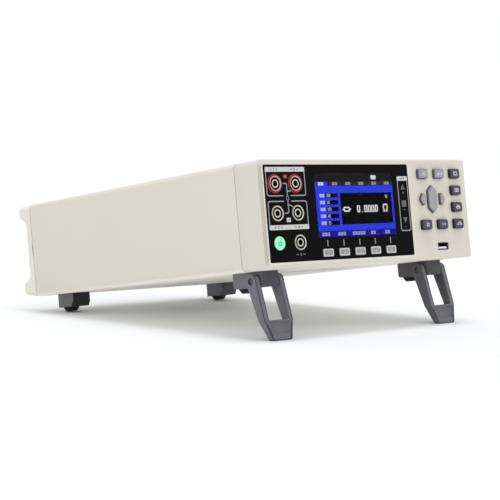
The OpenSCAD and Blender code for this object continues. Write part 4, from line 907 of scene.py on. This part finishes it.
board_green, tree, shader = new_finish("board_green", 0.3, gloss=0.5)
tracks = tree.nodes.new("ShaderNodeTexBrick")
filled(tracks, {"Vector": along_case(tree), "Scale": 120, "Mortar Size": 0.03,
    "Color1": tint(20, 82, 44), "Color2": tint(16, 72, 38), "Mortar": tint(46, 122, 70)})
filled(shader, {"Base Color": tracks.outputs["Color"]})
grained(shader, tracks.outputs["Fac"], 0.03)
painted("front_board", board_green)
painted("key_switches", moulded("switch_plastic", (30, 30, 32), patch=5, grain=0.4))
screw_steel = plated("screw_steel", (190, 190, 188), 0.35)
painted("front_screws", screw_steel)

# Memory stick port
# Folded tin shell set flush in the bezel, with the white contact tongue in its lower half. Both are
# soldered to the board behind the face.

# Painted shade: the shell is painted dark grey, as the shade inside the port.
painted("usb_shell", pressed_tin("shell_tin_shade", (92, 88, 83), 0.4))
painted("usb_tongue", moulded("tongue_white", (240, 240, 238), 0.4, patch=5, grain=0.5, depth=0.006))

# Sleeve and base plate
# Extruded aluminium sleeve in warm white powder coat, with screw channels in its corners, and the steel
# plate, coated alike, that closes it from below and carries the boards.

POWDER_COAT = dict(roughness=0.5, gloss=0.3, mottle=0.015, grain=0.9, depth=0.03)
sleeve_coat = moulded("sleeve_coat", (220, 216, 204), patch=90, **POWDER_COAT)
tree = sleeve_coat.node_tree
# Painted light: the sleeve's lowest few millimetres are painted lighter, as light thrown up from the table.
repainted(sleeve_coat, step_down(case_mm(tree, "Z"), 1.6, 3.0), UNDERSIDE_PAINTED_LIGHT)
# Painted shade: the sleeve's sharp edges, at its ends against the bezel and the bumper, are painted dark as
# the shade in the seams.
softened("sleeve", 0.5, sleeve_coat, moulded("sleeve_seam_shade", (144, 139, 129), roughness=0.5))
# Painted light: the plate's coat is painted lighter than the sleeve's, as light thrown up from the table.
painted("bottom_plate", moulded("base_coat_painted_light", (240, 237, 229), patch=70, **POWDER_COAT))

# Foot blocks and pads
# Four glass-filled nylon blocks screwed under the case, grey at the sides, each with a tapered black
# rubber pad plugged into it. Their front faces and rolled edges carry painted shade from the case above,
# the rear left block's darkest, and the right front block's sides are painted darker as shade too.

NYLON_GREY = (112, 112, 118)
COARSE = dict(gloss=0.3, grain=0.6, depth=0.03)


def nylon(name, colour, roughness=0.55, **finish):
    """Glass-filled nylon with soft patches."""
    return moulded(name, colour, roughness, mottle=0.05, patch=14, **finish)


nylon_grey = nylon("nylon_grey", NYLON_GREY, **COARSE)
nylon_edge_shade = nylon("nylon_edge_shade", (92, 92, 97), 0.5)
nylon_side_shade = nylon("nylon_side_shade", (86, 86, 90))
nylon_front_shade = nylon("nylon_front_shade", (74, 74, 78))
nylon_shadow = nylon("nylon_shadow", (34, 34, 36))
# Painted shade: darker nylon on the front faces and rolled edges, and on the right front block's sides.
for node, sides, edges, front in (("front_foot_left", nylon_grey, nylon_edge_shade, nylon_front_shade),
        ("front_foot_right", nylon_side_shade, nylon_edge_shade, nylon_front_shade),
        ("rear_foot_left", nylon_grey, nylon_shadow, nylon_shadow),
        ("rear_foot_right", nylon_grey, nylon_front_shade, nylon_front_shade)):
    faced(softened(node, 0.5, sides, edges), front, FACES_FRONT, 0.6)

rubber, tree, shader = new_finish("rubber", 0.8, gloss=0.2)
filled(shader, {"Base Color": between(clouds(tree, 6), tint(30, 30, 31), tint(44, 44, 45))})
grained(shader, clouds(tree, 0.8, 2.0), 0.05)
softened("foot_pads", 0.4, rubber)

# Tilt legs
# Each leg is a nylon moulding with two arms that reach round the foot block and turn on a steel pin,
# joined below the window in a tapered toe. A fine groove along the front edges of the arms is painted on
# as a dark band of shade, as are bands round the window and down the toe; the rolled edges are painted
# darker as shade, and the toe's lowest millimetre carries painted contact shade from the floor.

LEG_X, PIVOT_Y, PIVOT_Z, KNEE_Z, TOE_Z = 25.1, 31.8, -8.2, -41.2, -57.0
LEG_HALF, WINDOW_HALF, TOE_HALF, FIELD_HALF = 16.0, 10.6, 11.0, 10.4
FIELD_TOP, FIELD_LOW, EYE_HOLE = 1.2, 12.2, 4.7
GROOVE_START, GROOVE_W, TOE_GROOVE_W, WINDOW_GROOVE_W = 0.1, 1.0, 2.1, 0.8
TOE_SHADE_H, TOE_SHADE_FADE = 1.1 / 1000, 0.3 / 1000


def leg_roll(middles):
    """Share of the full roll for each edge of a leg: none round the field on the toe and the pockets
    behind it, a third round the pin's hole, a half along the window's lower edge."""
    x, y, z = middles.T
    from_middle = np.abs(np.abs(x - CASE_W / 2) - (CASE_W / 2 - LEG_X))
    in_field = (from_middle < FIELD_HALF) & (z < KNEE_Z - FIELD_TOP) & (z > KNEE_Z - FIELD_LOW)
    round_hole = np.hypot(y - PIVOT_Y, z - PIVOT_Z) < EYE_HOLE
    below_window = (from_middle < FIELD_HALF + 0.5) & (np.abs(z - KNEE_Z) < 0.6)
    return np.where(in_field, 0, np.where(round_hole, 0.33, np.where(below_window, 0.5, 1.0)))


def band(value, start, width):
    """1 over the given width from the start, otherwise 0."""
    return reckoned("MULTIPLY", step_down(value, start + width, 0.2),
        step_down(value, start, -0.06))


leg_plastic = nylon("leg_plastic", NYLON_GREY, **COARSE)
tree = leg_plastic.node_tree
# Distance from the middle plane of the nearer leg, | |x - case middle| - leg's place |.
aside, height = case_mm(tree, "X"), case_mm(tree, "Z")
for middle in (CASE_W / 2, CASE_W / 2 - LEG_X):
    aside = reckoned("ABSOLUTE", reckoned("SUBTRACT", aside, middle), 0)
half_width = ranged(height, TOE_Z, KNEE_Z, TOE_HALF, LEG_HALF)
from_edge = reckoned("SUBTRACT", half_width, aside)
outer_groove_shade = band(from_edge, GROOVE_START, GROOVE_W)
toe_groove_shade = reckoned("MULTIPLY", step_down(height, KNEE_Z - 2, 4.0),
    band(from_edge, GROOVE_START, TOE_GROOVE_W))
window_groove_shade = reckoned("MULTIPLY", step_down(height, KNEE_Z, -0.4),
    band(aside, WINDOW_HALF + GROOVE_START, WINDOW_GROOVE_W))
above_table = added(tree, "SeparateXYZ", {"Vector": added(tree, "TexCoord", {}, "Object")}, "Z")
toe_contact_shade = step_down(above_table, TOE_SHADE_H, TOE_SHADE_FADE)
painted_groove_shade = reckoned("MAXIMUM", outer_groove_shade, toe_groove_shade, window_groove_shade, toe_contact_shade)
# Painted shade: dark bands stand for the shade in a fine groove, and the toe's foot is darkened as contact
# shade.
repainted(leg_plastic, painted_groove_shade, (60, 60, 64))
# Painted shade: the legs' rolled edges are darker than their faces.
leg_edge_shade = nylon("leg_edge_shade", (84, 84, 88), 0.5)
softened("tilt_leg_left", 1.2, leg_plastic, leg_edge_shade, share_at=leg_roll)
right_leg = softened("tilt_leg_right", 1.2, leg_plastic, leg_edge_shade, share_at=leg_roll)
# Painted shade: the right leg's faces that look left, in under the case, are painted darker.
faced(right_leg, nylon_side_shade, (-1, 0, 0), 0.8)
softened("leg_pins", 0.3, plated("pin_steel", (92, 92, 96), 0.45))

# Inside the case
# Main board on brass standoffs with relays, capacitors and the screened measuring part, the laminated
# transformer in the cut-back corner and a black anodised heat sink.

painted("main_board", board_green)
brass_bright = plated("brass_bright", (206, 172, 96), 0.3)
painted("board_standoffs", brass_bright)
painted("board_parts", moulded("component_case", (58, 60, 64), patch=10, grain=0.5))

laminations, tree, shader = new_finish("laminations", 0.5, gloss=0.4)
leaves = added(tree, "TexWave", {"Vector": along_case(tree), "Scale": 300, "Distortion": 0.5}, "Fac",
    bands_direction="Z")
filled(shader, {"Base Color": between(leaves, tint(54, 46, 40), tint(92, 82, 72))})
grained(shader, leaves, 0.05)
painted("transformer", laminations)

anodised, tree, shader = new_finish("anodised", 0.4, metallic=0.6)
drawn_lines = clouds(tree, 1.0, stretch=(1, 1, 0.05))
filled(shader, {"Base Color": between(drawn_lines, tint(26, 26, 28), tint(40, 40, 42))})
grained(shader, drawn_lines, 0.02)
painted("heat_sink", anodised)

# Rear panel and its connectors
# Steel panel with an inlet for a line cord and its fuse drawer, an earth screw, a row of air slots and
# two D connectors, held by the bumper.

painted("rear_panel", pressed_tin("panel_steel", (176, 176, 174), 0.4))
inlet_plastic = moulded("inlet_plastic", (26, 26, 27), roughness=0.4, mottle=0.06, patch=10, grain=0.5)
softened("mains_inlet", 0.3, inlet_plastic)
painted("inlet_pins", nut_plating)
softened("fuse_drawer", 0.3, inlet_plastic)
softened("earth_terminal", 0.25, brass_bright)
connector_tin = plated("connector_tin", (206, 204, 198), 0.3)
softened("serial_port", 0.2, connector_tin)
softened("handler_port", 0.2, connector_tin)

# Rear bumper
# Moulded in the bezel's plastic: a rail with a lobe along the top and the bottom protects the
# connectors. Four long screws pull it onto the sleeve's channels.

softened("rear_bumper", 1.0, moulded("bumper_plastic", (228, 225, 214)), steps=3)
painted("case_screws", screw_steel)

# Room
# Plain white floor and room, daylight from all round, one soft lamp straight above, a weak one for the
# light that a white table throws up under the case, and the camera at the photograph's place.

DAYLIGHT, OVERHEAD, BOUNCE, PAPER_SHARE = 0.89, 0.9, 0.045, 0.02
WHITE = (1, 1, 1, 1)
FLOOR_WHITE, FLOOR_HALF = (0.885, 0.9, 0.915, 1), 8
CAMERA_PLACE = (-0.936386, -1.093894, 0.146478)
CAMERA_TURN = np.radians((90 - 3.31287, 0.01687, -41.07485))

scene = bpy.context.scene
scene.view_settings.view_transform = "Standard"


def seen_directly(tree):
    """1 for a ray from the camera, from a glossy surface or through a clear one, otherwise 0."""
    rays = [added(tree, "LightPath", {}, f"Is {kind} Ray") for kind in ("Camera", "Glossy", "Transmission")]
    return reckoned("MAXIMUM", *rays)


room = bpy.data.worlds.new("room")
room.use_nodes = True
tree = room.node_tree
daylight = tree.nodes["Background"]
filled(daylight, {"Color": WHITE, "Strength": DAYLIGHT})
white_wall = added(tree, "Background", {"Color": WHITE, "Strength": 1.0})
filled(tree.nodes["World Output"], {"Surface": added(tree, "MixShader", {
    "Fac": seen_directly(tree), 1: daylight.outputs["Background"], 2: white_wall})})
scene.world = room


def lamp(name, kind, height, energy, **settings):
    """Lamp at a height above the floor's middle."""
    light = set_up(bpy.data.lights.new(name, kind), energy=energy, **settings)
    return set_up(in_scene(name, light), location=(0, 0, height))


lamp("overhead", "SUN", 2, OVERHEAD, angle=math.radians(24))
bounce = lamp("table_bounce", "AREA", 0.002, BOUNCE, shape="RECTANGLE", size=0.25, size_y=0.36,
    spread=math.radians(60))
set_up(bounce, rotation_euler=(math.pi, 0, 0), visible_camera=False, visible_glossy=False,
    visible_transmission=False)

floor_mesh = bpy.data.meshes.new("floor")
floor_corners = [(FLOOR_HALF * x, FLOOR_HALF * y, 0) for x, y in ((-1, -1), (1, -1), (1, 1), (-1, 1))]
floor_mesh.from_pydata(floor_corners, [], [(0, 1, 2, 3)])
floor = in_scene("floor", floor_mesh)
floor_white, tree, shader = new_finish("floor_white", 1.0, gloss=0.0)
filled(shader, {"Base Color": FLOOR_WHITE})
paper = added(tree, "Emission", {"Color": WHITE})
share = reckoned("MULTIPLY", seen_directly(tree), PAPER_SHARE)
filled(tree.nodes["Material Output"], {"Surface": added(tree, "MixShader", {
    "Fac": share, 1: shader.outputs["BSDF"], 2: paper})})
floor_mesh.materials.append(floor_white)

lens = set_up(bpy.data.cameras.new("photograph"), sensor_width=36.0, lens=108.8025, clip_end=20.0)
scene.camera = set_up(in_scene("photograph", lens), location=CAMERA_PLACE, rotation_euler=CAMERA_TURN)
